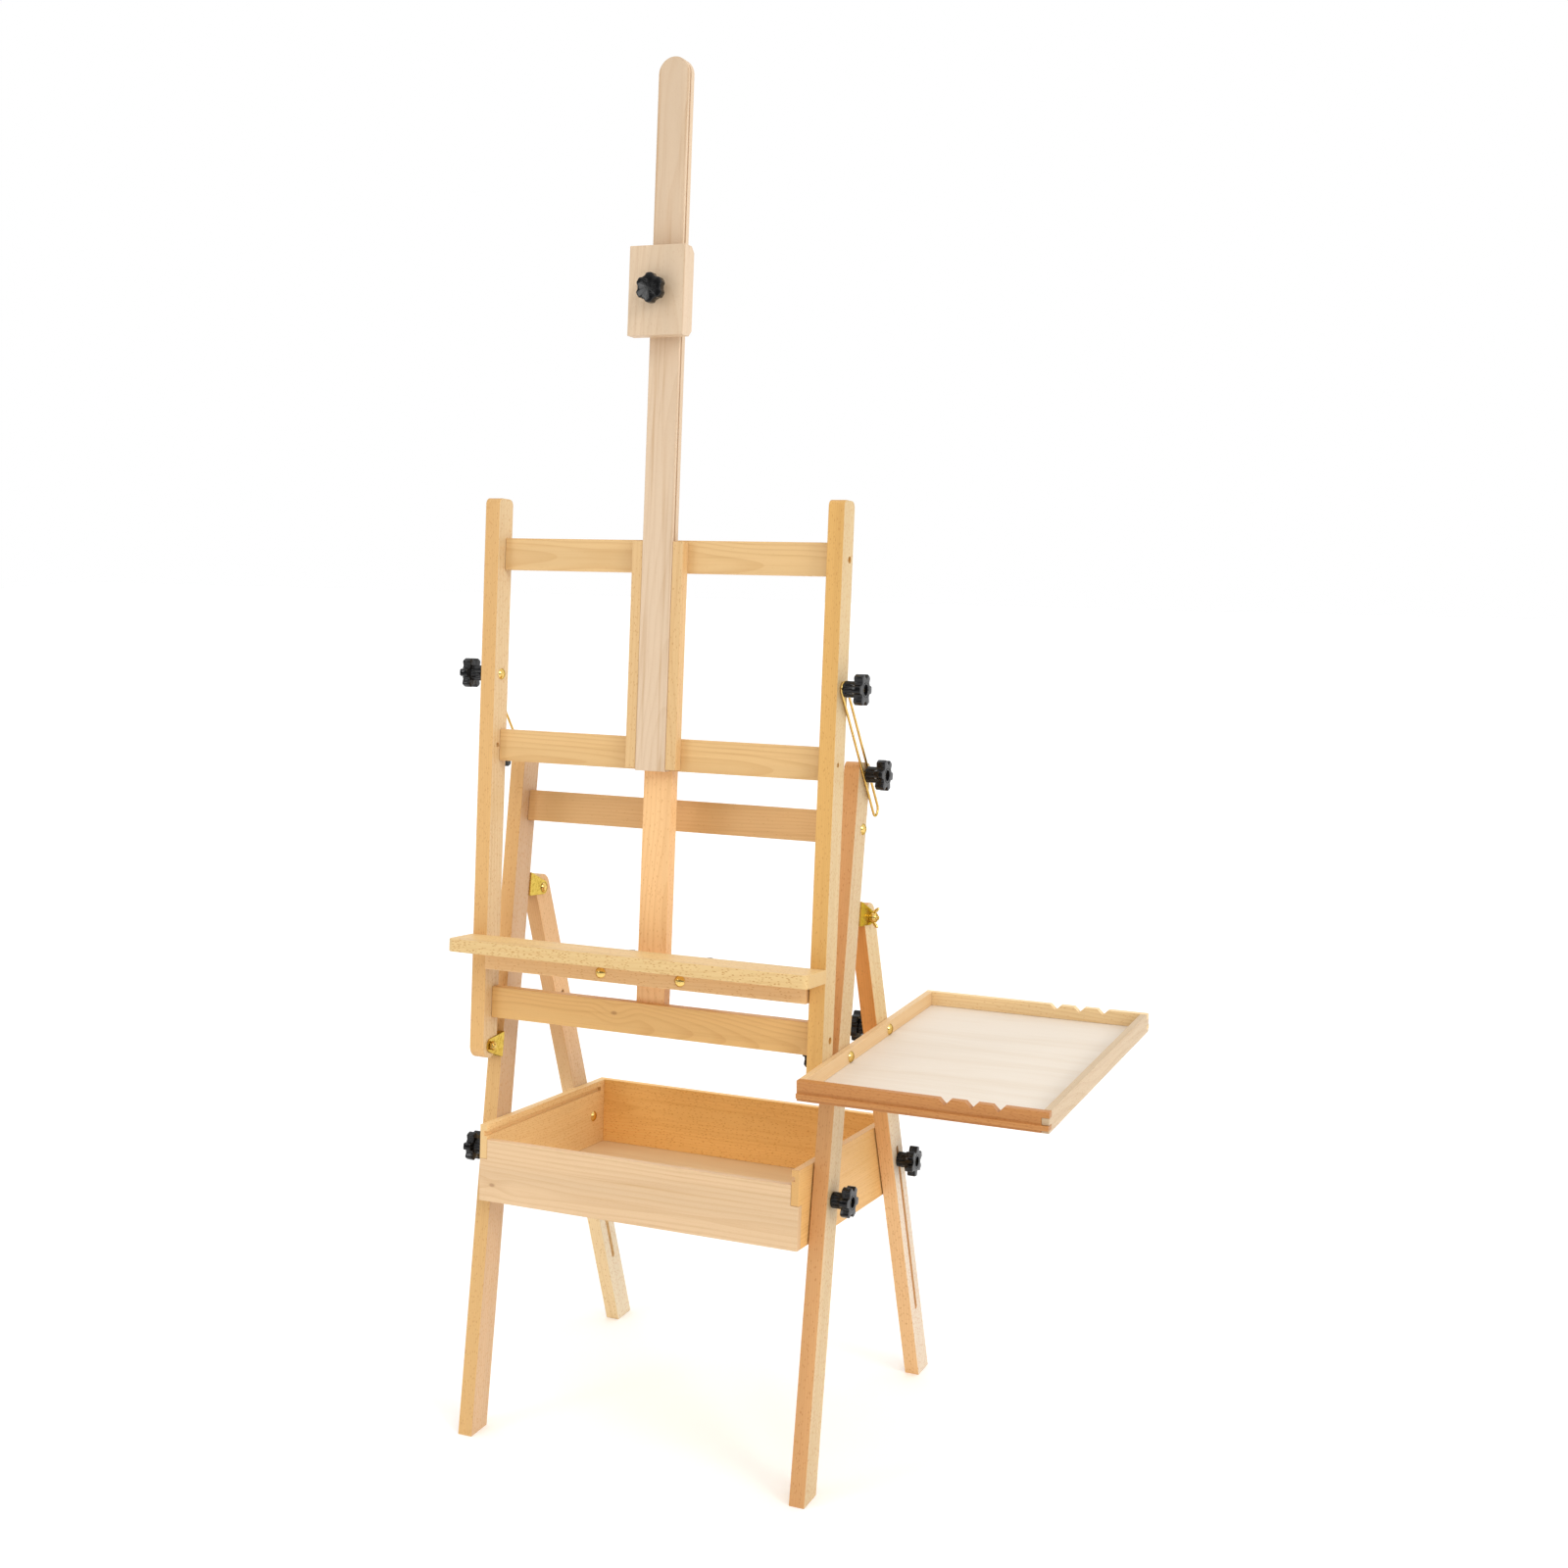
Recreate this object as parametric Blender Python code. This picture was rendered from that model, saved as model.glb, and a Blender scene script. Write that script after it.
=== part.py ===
"""Wooden studio easel: two leaning front legs with a tilting canvas frame, two folding rear legs,
a storage box slung between the legs and a brush tray bolted to their right side.

Every length is in metres. The easel is laid out with x = 0 on its plane of symmetry, y = 0 at the
front of the front feet and z = 0 on the floor; the last step moves it so that the origin lies on
the floor under the middle of its bounding box.
"""

import math

import bmesh
import bpy
from mathutils import Matrix, Vector
from mathutils.geometry import convex_hull_2d

# ---- driving dimensions ----------------------------------------------------------------------
HALF_SPAN = 0.240  # symmetry plane to the outer face of legs and stiles
MEMBER = 0.020  # width of legs and stiles, side to side
INNER = HALF_SPAN - MEMBER
GAP = 0.0003  # clearance between pieces that touch

FRONT_LEAN = math.radians(11.42)
FRONT_DEPTH = 0.036
FRONT_LENGTH = 0.886
END_ROUND = 0.008  # rounded corners at the tops of legs and stiles

FRAME_LEAN = math.radians(6.14)
STILE_DEPTH = 0.032
STILE_TOP = 0.686  # above the tilt pivot
TILT_PIVOT = (0.4993, -0.0300)  # up the front leg, and behind its front face

REAR_PIVOT = (0.700, 0.0705)  # up the front leg, and behind its front face
REAR_DEPTH = 0.035
REAR_FOOT_Y = 0.411  # middle of the rear feet

RAIL_HEIGHT = 0.039
RAIL_FRONT = 0.0003  # front of the rails, behind the line through the tilt pivot
RAIL_DEPTH = 0.016
RAIL_LEVELS = {"lower_rail": 0.0555, "middle_rail": 0.380, "upper_rail": 0.618}
BAR_WIDTH = 0.038
BAR_FRONT = 0.008
BAR_DEPTH = 0.016

MAST_WIDTH = 0.040
MAST_DEPTH = 0.015
MAST_BOTTOM = 0.360
MAST_TOP = 1.2045
MAST_GROOVE = 0.003  # width and depth of the grooves down the mast's sides

LEDGE_HALF = 0.2415
LEDGE_TOP = 0.142
LEDGE_THICK = 0.016
LEDGE_REACH = 0.057  # front edge of the ledge, ahead of the stiles
BATTEN_BOTTOM = 0.100
BATTEN_FRONT = -0.021
LEDGE_BOLT_X = 0.054
LEDGE_BOLT_Z = 0.111

BLOCK_HALF = 0.0365
BLOCK_BOTTOM = 0.875
BLOCK_HEIGHT = 0.105
BLOCK_DEPTH = 0.0243

BOLT_R = 0.003
HOLE_R = 0.0034
KNOB_R = 0.0193
KNOB_VALLEY_R = 0.0140
KNOB_HUB_R = 0.0098
KNOB_HUB_H = 0.0148
KNOB_H = 0.0255
STUD_KNOB_VALLEY_R = 0.0155
CAPPED_KNOB_R = 0.0174
CAPPED_KNOB_VALLEY_R = 0.0150
STUD_KNOB_SHORTER = 0.0062  # a knob with a stud is this much lower than a bored one
KNOB_RECESS_R = 0.0062
KNOB_RECESS = 0.004
BOLT_STAND = 0.0225  # how far a bolt reaches into its knob
SEAT = 0.0002  # how far a bolt head that is one piece with a part sinks into it

STAY_BOLT_UP = 0.4686  # stay bolt, above the tilt pivot
LEG_BOLT_UP = 0.872  # the stay's lower bolt, up the front leg
STAY_REACH = 0.195  # stay bolt to the bottom of the loop's centre line
STAY_HALF = 0.0076  # half the width of the loop's centre line
WIRE_R = 0.0015

BOX_HALF = 0.2185
BOX_LENGTH = 0.315
BOX_HEIGHT = 0.097
BOX_FRONT = 0.0540  # front of the box, ahead of its front bolts
BOX_BELOW = 0.0526  # bottom of the box, below its bolts
BOX_BOLT_UP = 0.3628  # the box's front bolts, up the front leg
BOX_REAR = (0.2217, -0.0016)  # the box's rear bolts, behind and above its front bolts
BOX_DROP = math.radians(5.0)  # the box's floor falls towards the back
BOX_WALL = 0.010
BOX_FRONT_DROP = 0.0185  # the front wall is this much lower than the side walls
BOX_FINGER = 0.043  # height of the side walls' upper corner finger
GROOVE_TOP = 0.008
GROOVE_HEIGHT = 0.0060
GROOVE_DEPTH = 0.0045
PLY = 0.004

TRAY_X = 0.2405
TRAY_WIDTH = 0.2965
TRAY_BODY = 0.4365  # front to back, without the tongues
TRAY_CENTRE_Y = 0.1988
TRAY_BOTTOM = 0.5064
TRAY_HEIGHT = 0.024
TRAY_WALL = 0.0085
TRAY_BOLT_Z = 0.520
TONGUE = 0.003
TONGUE_LOW = 0.0035
TONGUE_HIGH = 0.0092
TRAY_FINGERS = ((0.0, 0.0035), (0.0092, 0.0170))  # levels of the right wall's corner fingers
NOTCH_DEPTH = 0.007
NOTCH_PLACES = (0.177, 0.208, 0.239)

BRACKET_PLATE = 0.0015
BRACKET_EAR_R = 0.009
LOWER_WEB = (0.016, -0.016)  # top and bottom of a lower bracket's web, from the pivot
UPPER_WEB = (0.019, -0.011)

LEG_RAIL_UP = 0.806
LEG_RAIL_BACK = 0.026
SLOT_HALF = 0.0034
SLOT_TOP = 0.336  # ends of the rear leg's slot, below the rear pivot
SLOT_BOTTOM = 0.598

# ---- materials -------------------------------------------------------------------------------
BEECH = ("beech", (0.78, 0.53, 0.31), 0.5, 0.0)
PLYWOOD = ("plywood", (0.86, 0.72, 0.52), 0.6, 0.0)
BLACK = ("black_plastic", (0.02, 0.02, 0.02), 0.35, 0.0)
BRASS = ("brass", (0.78, 0.57, 0.22), 0.3, 1.0)


def material(spec):
    """The Principled material that a (name, colour, roughness, metallic) tuple describes."""
    name, colour, roughness, metallic = spec
    found = bpy.data.materials.get(name)
    if found:
        return found
    made = bpy.data.materials.new(name)
    made.use_nodes = True
    shader = made.node_tree.nodes["Principled BSDF"]
    shader.inputs["Base Color"].default_value = (*colour, 1.0)
    shader.inputs["Roughness"].default_value = roughness
    shader.inputs["Metallic"].default_value = metallic
    made.diffuse_color = (*colour, 1.0)
    return made


# ---- placing ---------------------------------------------------------------------------------
def along(y, z, lean, up, back):
    """The world (y, z) that lies up and back along a member leaning back from (y, z)."""
    sin, cos = math.sin(lean), math.cos(lean)
    return y + up * sin + back * cos, z + up * cos - back * sin


def empty(name, place, lean, parent):
    """An axis or assembly frame: local Z runs up a member that leans back by the given angle."""
    made = bpy.data.objects.new(name, None)
    bpy.context.collection.objects.link(made)
    made.parent = parent
    made.location = place
    made.rotation_euler = (-lean, 0.0, 0.0)
    return made


def add(name, bm, spec, parent, round_piece=False):
    """A named object with the given mesh and material under its parent."""
    bmesh.ops.recalc_face_normals(bm, faces=bm.faces)
    mesh = bpy.data.meshes.new(name)
    bm.to_mesh(mesh)
    bm.free()
    made = bpy.data.objects.new(name, mesh)
    bpy.context.collection.objects.link(made)
    made.parent = parent
    mesh.materials.append(material(spec))
    if round_piece:
        mesh.shade_smooth()
        mesh.set_sharp_from_angle(angle=math.radians(35))
    return made


def combine(target, bm, operation):
    """Adds a Boolean modifier that takes a hidden helper from the mesh in bm."""
    bmesh.ops.recalc_face_normals(bm, faces=bm.faces)
    mesh = bpy.data.meshes.new(target.name + "_helper")
    bm.to_mesh(mesh)
    bm.free()
    helper = bpy.data.objects.new(target.name + "_helper", mesh)
    bpy.context.collection.objects.link(helper)
    helper.parent = target.parent
    helper.matrix_local = target.matrix_local
    helper.hide_render = True
    helper.display_type = "WIRE"
    step = target.modifiers.new(operation.lower(), "BOOLEAN")
    step.operation = operation
    step.solver = "EXACT"
    step.object = helper


def cut(target, bm):
    """Cuts the mesh in bm, given in the target's own frame, out of the target."""
    combine(target, bm, "DIFFERENCE")


def fuse(target, bm):
    """Makes the mesh in bm, given in the target's own frame, one piece with the target."""
    combine(target, bm, "UNION")


# ---- outlines and solids ---------------------------------------------------------------------
def arc(centre, radius, start, end, steps):
    """Points of an arc, angles in degrees, both ends included."""
    turn = [math.radians(start + (end - start) * i / steps) for i in range(steps + 1)]
    return [(centre[0] + radius * math.cos(a), centre[1] + radius * math.sin(a)) for a in turn]


def rectangle(low, high):
    return [(low[0], low[1]), (high[0], low[1]), (high[0], high[1]), (low[0], high[1])]


def stadium(low, high, half, steps=8):
    """An upright slot outline centred on the second coordinate's axis, between two arc centres."""
    return arc((0, high), half, 0, 180, steps) + arc((0, low), half, 180, 360, steps)


def prism(bm, outline, axis, low, high):
    """Extrudes a 2-D outline along X, Y or Z; the outline holds the other two in X, Y, Z order."""
    order = {"X": (1, 2, 0), "Y": (0, 2, 1), "Z": (0, 1, 2)}[axis]
    loops = []
    for level in (low, high):
        ring = []
        for point in outline:
            place = [0.0, 0.0, 0.0]
            place[order[0]], place[order[1]], place[order[2]] = point[0], point[1], level
            ring.append(bm.verts.new(place))
        loops.append(ring)
    bm.faces.new(loops[0][::-1])
    bm.faces.new(loops[1])
    count = len(outline)
    for i in range(count):
        j = (i + 1) % count
        bm.faces.new((loops[0][i], loops[0][j], loops[1][j], loops[1][i]))
    return bm


def solid(outline, axis, low, high):
    return prism(bmesh.new(), outline, axis, low, high)


def block(low, high):
    """A box from its lowest to its highest corner."""
    return solid(rectangle(low[:2], high[:2]), "Z", low[2], high[2])


def circle(radius, height, segments):
    """Points of a horizontal circle, or the single point on the axis when the radius is 0."""
    if radius == 0:
        return [(0, 0, height)]
    angles = [2 * math.pi * i / segments for i in range(segments)]
    return [(radius * math.cos(a), radius * math.sin(a), height) for a in angles]


def skin(bm, rings, loop=False, place=None):
    """Joins rings of points into a body; a loop of rings has a bore, other ends are closed."""
    place = place or Matrix.Identity(4)
    rings = [[bm.verts.new(place @ Vector(point)) for point in ring] for ring in rings]
    pairs = list(zip(rings, rings[1:])) + ([(rings[-1], rings[0])] if loop else [])
    for lower, upper in pairs:
        count = max(len(lower), len(upper))
        for i in range(count):
            j = (i + 1) % count
            corners = [lower[i % len(lower)], lower[j % len(lower)]]
            corners += [upper[j % len(upper)], upper[i % len(upper)]]
            bm.faces.new(list(dict.fromkeys(corners)))
    return bm


def facing(base, direction):
    """The matrix that puts local Z along the direction at the base."""
    turn = Vector((0, 0, 1)).rotation_difference(Vector(direction))
    return Matrix.Translation(base) @ turn.to_matrix().to_4x4()


def turned(bm, profile, base, direction, segments=12, loop=False):
    """A turned body along the direction: profile holds (radius, distance) pairs."""
    rings = [circle(radius, height, segments) for radius, height in profile]
    return skin(bm, rings, loop, facing(base, direction))


def holes(places, axis, radius, low, high):
    """Straight cutters through the given 2-D places, between two levels along the axis."""
    bm = bmesh.new()
    for place in places:
        outline = arc(place, radius, 0, 337.5, 15)
        prism(bm, outline, axis, low, high)
    return bm


def carriage_bolt(bm, base, direction, length):
    """A domed bolt; base is where its head meets the surface, direction points down the shank."""
    profile = [(0, -0.0036), (0.0035, -0.0031), (0.0058, -0.0018), (0.0070, 0)]
    profile += [(BOLT_R, 0), (BOLT_R, length), (0, length)]
    return turned(bm, profile, base, direction)


# ---- star knobs ------------------------------------------------------------------------------
def star(height, peak, valley):
    """Three points for each of the knob's six lobes, the first lobe along local Y."""
    points = []
    for lobe in range(6):
        for turn, radius in ((-30, valley), (-11, peak), (11, peak)):
            angle = math.radians(60 * lobe + 90 + turn)
            points.append((radius * math.cos(angle), radius * math.sin(angle), height))
    return points


def star_knob(name, place, direction, parent, stud=0.0, closed=False):
    """A six-lobed knob; its origin is the middle of the hub's foot, its axis local Z.

    Without a stud it is bored through for a bolt. A stud is a screw fixed in the knob that
    reaches that far below the hub; a closed knob is smaller and has a plain outer face.
    """
    peak, valley = KNOB_R, STUD_KNOB_VALLEY_R if stud else KNOB_VALLEY_R
    if closed:
        peak, valley = CAPPED_KNOB_R, CAPPED_KNOB_VALLEY_R
    shorter = STUD_KNOB_SHORTER if stud else 0.0
    hub, top = KNOB_HUB_H - shorter, KNOB_H - shorter
    face = [star(hub, peak, valley), star(top, peak, valley)]
    low = [circle(KNOB_HUB_R, 0, 18), circle(KNOB_HUB_R, hub, 18)]
    sunk = top - KNOB_RECESS
    rim = [circle(KNOB_RECESS_R, top, 18), circle(KNOB_RECESS_R, sunk, 18)]
    bm = bmesh.new()
    if stud:
        foot = [circle(0, -stud, 18), circle(BOLT_R, -stud, 18), circle(BOLT_R, 0, 18)]
        end = [circle(0, top, 18)] if closed else rim + [circle(0, sunk, 18)]
        skin(bm, foot + low + face + end)
    else:
        rings = [circle(HOLE_R, 0, 18)] + low + face + rim + [circle(HOLE_R, sunk, 18)]
        skin(bm, rings, loop=True)
    made = add(name, bm, BLACK, parent, round_piece=True)
    made.matrix_local = facing(place, direction)
    return made


# ---- front legs ------------------------------------------------------------------------------
def leg_outline(depth, top, lean):
    """Side view of a front leg: level foot, rounded corners at the top."""
    heel = depth * math.tan(lean)
    corners = [(0, 0), (depth, heel)]
    corners += arc((depth - END_ROUND, top - END_ROUND), END_ROUND, 0, 90, 5)
    corners += arc((END_ROUND, top - END_ROUND), END_ROUND, 90, 180, 5)
    return corners


def ear_outline(web, pivot, ends):
    """Side view of a hinge ear: the round end about the pivot joined to the web's two ends."""
    up, back = pivot
    points = arc((back, up), BRACKET_EAR_R, 9, 351, 19) + [(web, up + end) for end in ends]
    points = [Vector(point) for point in points]
    return [points[i].to_tuple() for i in convex_hull_2d(points)]


def bracket(name, side, parent, spot):
    """A folded hinge bracket: a web screwed to the leg, and an ear on each side of the pivot."""
    pivot, ends, face, away = spot
    up, back = pivot
    web = (face + away * GAP, face + away * (GAP + BRACKET_PLATE))
    outer = HALF_SPAN + GAP + BRACKET_PLATE
    inner = INNER - GAP - BRACKET_PLATE
    shape = solid(ear_outline(web[0], pivot, ends), "X", inner, outer)
    far = web[1] + away * (0.02 + abs(back - web[1]))
    inside = rectangle((web[1], up + ends[1] - 0.01), (far, up + ends[0] + 0.01))
    channel = solid(inside, "X", inner + BRACKET_PLATE, outer - BRACKET_PLATE)
    shape = boolean_result(shape, channel, "DIFFERENCE")
    hole = solid(arc((back, up), HOLE_R, 0, 330, 11), "X", inner - 0.002, outer + 0.002)
    shape = boolean_result(shape, hole, "DIFFERENCE")
    screws = bmesh.new()
    for level in screw_levels(pivot, ends):
        base = ((inner + outer) / 2, web[1] - away * SEAT, level)
        profile = [(0, -0.0020), (0.0022, -0.0017), (0.0033, 0), (0.0015, 0), (0.0015, 0.012), (0, 0.0135)]
        turned(screws, profile, base, (0, -away, 0), 8)
    shape = boolean_result(shape, screws, "UNION")
    if side < 0:
        bmesh.ops.scale(shape, vec=(-1, 1, 1), verts=shape.verts)
    return add(name, shape, BRASS, parent)


def screw_levels(pivot, ends):
    """Heights of a bracket's two wood screws."""
    return pivot[0] + ends[0] - 0.007, pivot[0] + ends[1] + 0.007


def boolean_result(base, tool, operation):
    """The evaluated result of one boolean between two bmeshes, as a new bmesh."""
    objects = []
    for bm in (base, tool):
        bmesh.ops.recalc_face_normals(bm, faces=bm.faces)
        mesh = bpy.data.meshes.new("scratch")
        bm.to_mesh(mesh)
        bm.free()
        objects.append(bpy.data.objects.new("scratch", mesh))
        bpy.context.collection.objects.link(objects[-1])
    step = objects[0].modifiers.new("step", "BOOLEAN")
    step.operation = operation
    step.solver = "EXACT"
    step.object = objects[1]
    bpy.context.view_layer.update()
    graph = bpy.context.evaluated_depsgraph_get()
    result = bmesh.new()
    result.from_mesh(objects[0].evaluated_get(graph).to_mesh())
    for made in objects:
        bpy.data.objects.remove(made)
    return result


def sides(name):
    """The names and x signs of a left and right pair."""
    return ((name + "_left", -1), (name + "_right", 1))


def front_legs(root):
    """Both front legs with their rail, hinge brackets and bolts."""
    frame = empty("front_leg_frame", (0, 0, 0), FRONT_LEAN, root)
    middle = FRONT_DEPTH / 2
    foot = HALF_SPAN + 3 * GAP + 2 * WIRE_R
    for name, side in sides("front_leg"):
        x = sorted((side * INNER, side * HALF_SPAN))
        outline = leg_outline(FRONT_DEPTH, FRONT_LENGTH, FRONT_LEAN)
        leg = add(name, solid(outline, "X", *x), BEECH, frame)
        bm = holes([to_leg(*TRAY_BOLTS[0])], "X", HOLE_R, x[0] - 0.01, x[1] + 0.01)
        for pivot, ends, face, away in BRACKET_SPOTS:
            for level in screw_levels(pivot, ends):
                span = sorted((face + away * 0.001, face - away * 0.014))
                prism(bm, arc(((x[0] + x[1]) / 2, level), 0.0018, 0, 315, 7), "Y", *span)
        cut(leg, bm)
        bolts = bmesh.new()
        base = (side * (INNER + SEAT), middle, LEG_BOLT_UP)
        carriage_bolt(bolts, base, (side, 0, 0), foot + BOLT_STAND - abs(base[0]))
        base = (side * (BOX_HALF - BOX_WALL - GAP), middle, BOX_BOLT_UP)
        carriage_bolt(bolts, base, (side, 0, 0), HALF_SPAN + GAP + BOLT_STAND - abs(base[0]))
        base = (side * (HALF_SPAN - SEAT), LEG_RAIL_BACK, LEG_RAIL_UP)
        carriage_bolt(bolts, base, (-side, 0, 0), 0.048)
        fuse(leg, bolts)

    low = (-INNER + GAP, LEG_RAIL_BACK - 0.008, LEG_RAIL_UP - RAIL_HEIGHT / 2)
    high = (INNER - GAP, LEG_RAIL_BACK + 0.008, LEG_RAIL_UP + RAIL_HEIGHT / 2)
    rail = add("front_leg_rail", block(low, high), BEECH, frame)
    ends = bmesh.new()
    for side in (-1, 1):
        span = sorted((side * (INNER - 0.032), side * (INNER + 0.002)))
        prism(ends, arc((LEG_RAIL_BACK, LEG_RAIL_UP), HOLE_R, 0, 330, 11), "X", *span)
    cut(rail, ends)

    for level_name, spot in zip(("lower", "upper"), BRACKET_SPOTS):
        for name, side in sides(level_name + "_hinge_bracket"):
            bracket(name, side, frame, spot)
    out = HALF_SPAN + 2 * GAP + BRACKET_PLATE
    into = INNER - 2 * GAP - BRACKET_PLATE
    for name, side in sides("tilt_hinge_bolt"):
        up, back = TILT_PIVOT
        bolt = carriage_bolt(bmesh.new(), (side * out, back, up), (-side, 0, 0), out - into + 0.0065)
        nut = turned(bmesh.new(), [(0, 0), (0.0058, 0), (0.0058, 0.005), (0, 0.005)],
                     (side * into, back, up), (-side, 0, 0), 6)
        add(name, boolean_result(bolt, nut, "UNION"), BRASS, frame, round_piece=True)
    for name, side in sides("rear_hinge_bolt"):
        up, back = REAR_PIVOT
        bolt = carriage_bolt(bmesh.new(), (side * into, back, up), (side, 0, 0), out - into + 0.0095)
        add(name, bolt, BRASS, frame, round_piece=True)
    for name, side in sides("stay_leg_knob"):
        star_knob(name, (side * foot, middle, LEG_BOLT_UP), (side, 0, 0), frame)
    for name, side in sides("box_front_knob"):
        star_knob(name, (side * (HALF_SPAN + GAP), middle, BOX_BOLT_UP), (side, 0, 0), frame)
    wing_nuts(frame)
    back, up = to_leg(*TRAY_BOLTS[0])
    star_knob("tray_front_knob", (INNER - GAP, back, up), (-1, 0, 0), frame)


def to_leg(y, z):
    """World (y, z) as (back, up) in the front legs' frame."""
    sin, cos = math.sin(FRONT_LEAN), math.cos(FRONT_LEAN)
    return y * cos - z * sin, y * sin + z * cos


def wing_nuts(frame):
    """A wing nut on each rear hinge bolt: a bored hub with two swept wings."""
    up, back = REAR_PIVOT
    for name, side in sides("wing_nut"):
        hub = turned(
            bmesh.new(), [(HOLE_R, 0), (0.0065, 0), (0.0052, 0.007), (HOLE_R, 0.007)],
            (0, 0, 0), (0, 0, 1), 16, loop=True,
        )
        wings = bmesh.new()
        for turn in (1, -1):
            outline = [(turn * 0.0048, 0.0008), (turn * 0.0085, 0.0008), (turn * 0.0130, 0.0090)]
            outline += [(turn * 0.0122, 0.0106), (turn * 0.0100, 0.0106), (turn * 0.0048, 0.0060)]
            prism(wings, outline, "X", -0.0014, 0.0014)
        made = add(name, boolean_result(hub, wings, "UNION"), BRASS, frame)
        place = (side * (HALF_SPAN + 2 * GAP + BRACKET_PLATE), back, up)
        made.matrix_local = facing(place, (side, 0, 0)) @ Matrix.Rotation(math.pi / 2, 4, "Z")


# ---- tilting canvas frame --------------------------------------------------------------------
def stile_outline():
    """Side view of a stile: round foot about the pivot, rounded corners at the top."""
    half = STILE_DEPTH / 2
    corners = arc((0, 0), half, 180, 360, 10)
    corners += arc((half - END_ROUND, STILE_TOP - END_ROUND), END_ROUND, 0, 90, 5)
    corners += arc((END_ROUND - half, STILE_TOP - END_ROUND), END_ROUND, 90, 180, 5)
    return corners


def canvas_frame(tilt):
    """Stiles, rails, centre bar, mast guides and their fasteners, in the tilt axis's frame."""
    middle = RAIL_FRONT + 0.0055
    screw_places = [(middle, RAIL_LEVELS[name]) for name in ("lower_rail", "upper_rail")]
    spare = (-0.004, RAIL_LEVELS["middle_rail"])
    foot = HALF_SPAN + 3 * GAP + 2 * WIRE_R
    for name, side in sides("stile"):
        x = sorted((side * INNER, side * HALF_SPAN))
        stile = add(name, solid(stile_outline(), "X", *x), BEECH, tilt)
        bm = holes([(0, 0), spare], "X", HOLE_R, x[0] - 0.01, x[1] + 0.01)
        bolts = bmesh.new()
        base = (side * (INNER + SEAT), 0, STAY_BOLT_UP)
        carriage_bolt(bolts, base, (side, 0, 0), foot + BOLT_STAND - abs(base[0]))
        for y, z in screw_places:
            sunk = side * (HALF_SPAN - 0.008)
            prism(bm, arc((y, z), 0.0042, 0, 330, 11), "X", *sorted((sunk, side * (HALF_SPAN + 0.002))))
            profile = [(0, -0.0030), (0.0020, -0.0029), (0.0036, -0.0018), (0.0036, 0.001)]
            profile += [(0.0021, 0.001), (0.0021, 0.044), (0, 0.046)]
            turned(bolts, profile, (sunk, y, z), (-side, 0, 0))
        cut(stile, bm)
        fuse(stile, bolts)
    bar_cut = (BAR_WIDTH / 2 + GAP, RAIL_FRONT + BAR_FRONT - GAP)
    for name, level in RAIL_LEVELS.items():
        low = (-INNER + GAP, RAIL_FRONT, level - RAIL_HEIGHT / 2)
        high = (INNER - GAP, RAIL_FRONT + RAIL_DEPTH, level + RAIL_HEIGHT / 2)
        rail = add(name, block(low, high), BEECH, tilt)
        bm = block((-bar_cut[0], bar_cut[1], level - 0.05), (bar_cut[0], 0.05, level + 0.05))
        if name != "middle_rail":
            for side in (-1, 1):
                span = sorted((side * (INNER - 0.036), side * (INNER + 0.002)))
                prism(bm, arc((middle, level), 0.0025, 0, 330, 11), "X", *span)
        cut(rail, bm)
        if name == "upper_rail":
            cut(rail, holes([(0, level)], "Y", HOLE_R, -0.01, 0.03))
    bottom = RAIL_LEVELS["lower_rail"] - RAIL_HEIGHT / 2
    top = RAIL_LEVELS["upper_rail"] + RAIL_HEIGHT / 2
    front = RAIL_FRONT + BAR_FRONT
    low, high = (-BAR_WIDTH / 2, front, bottom), (BAR_WIDTH / 2, front + BAR_DEPTH, top)
    bar = add("centre_bar", block(low, high), BEECH, tilt)
    level = RAIL_LEVELS["upper_rail"]
    cut(bar, holes([(0, level)], "Y", HOLE_R, front - 0.01, front + BAR_DEPTH + 0.01))
    knob_foot = front + BAR_DEPTH + GAP
    star_knob("mast_lock_knob", (0, knob_foot, level), (0, 1, 0), tilt, stud=knob_foot)

    near = MAST_WIDTH / 2 + GAP
    tongue = MAST_WIDTH / 2 - MAST_GROOVE + GAP
    groove = MAST_FACE + 0.0035
    low = RAIL_LEVELS["middle_rail"] - RAIL_HEIGHT / 2 + 0.002
    for name, side in sides("mast_guide"):
        outline = [(near, MAST_FACE + 0.001), (near + 0.0137, MAST_FACE + 0.001)]
        outline += [(near + 0.0137, 0), (near, 0), (near, groove + MAST_GROOVE - GAP)]
        outline += [(tongue, groove + MAST_GROOVE - GAP), (tongue, groove + GAP), (near, groove + GAP)]
        outline = [(side * x, y) for x, y in outline]
        add(name, solid(outline, "Z", low, top - 0.002), BEECH, tilt)
    for name, side in sides("stay_frame_knob"):
        star_knob(name, (side * foot, 0, STAY_BOLT_UP), (side, 0, 0), tilt)


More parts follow.
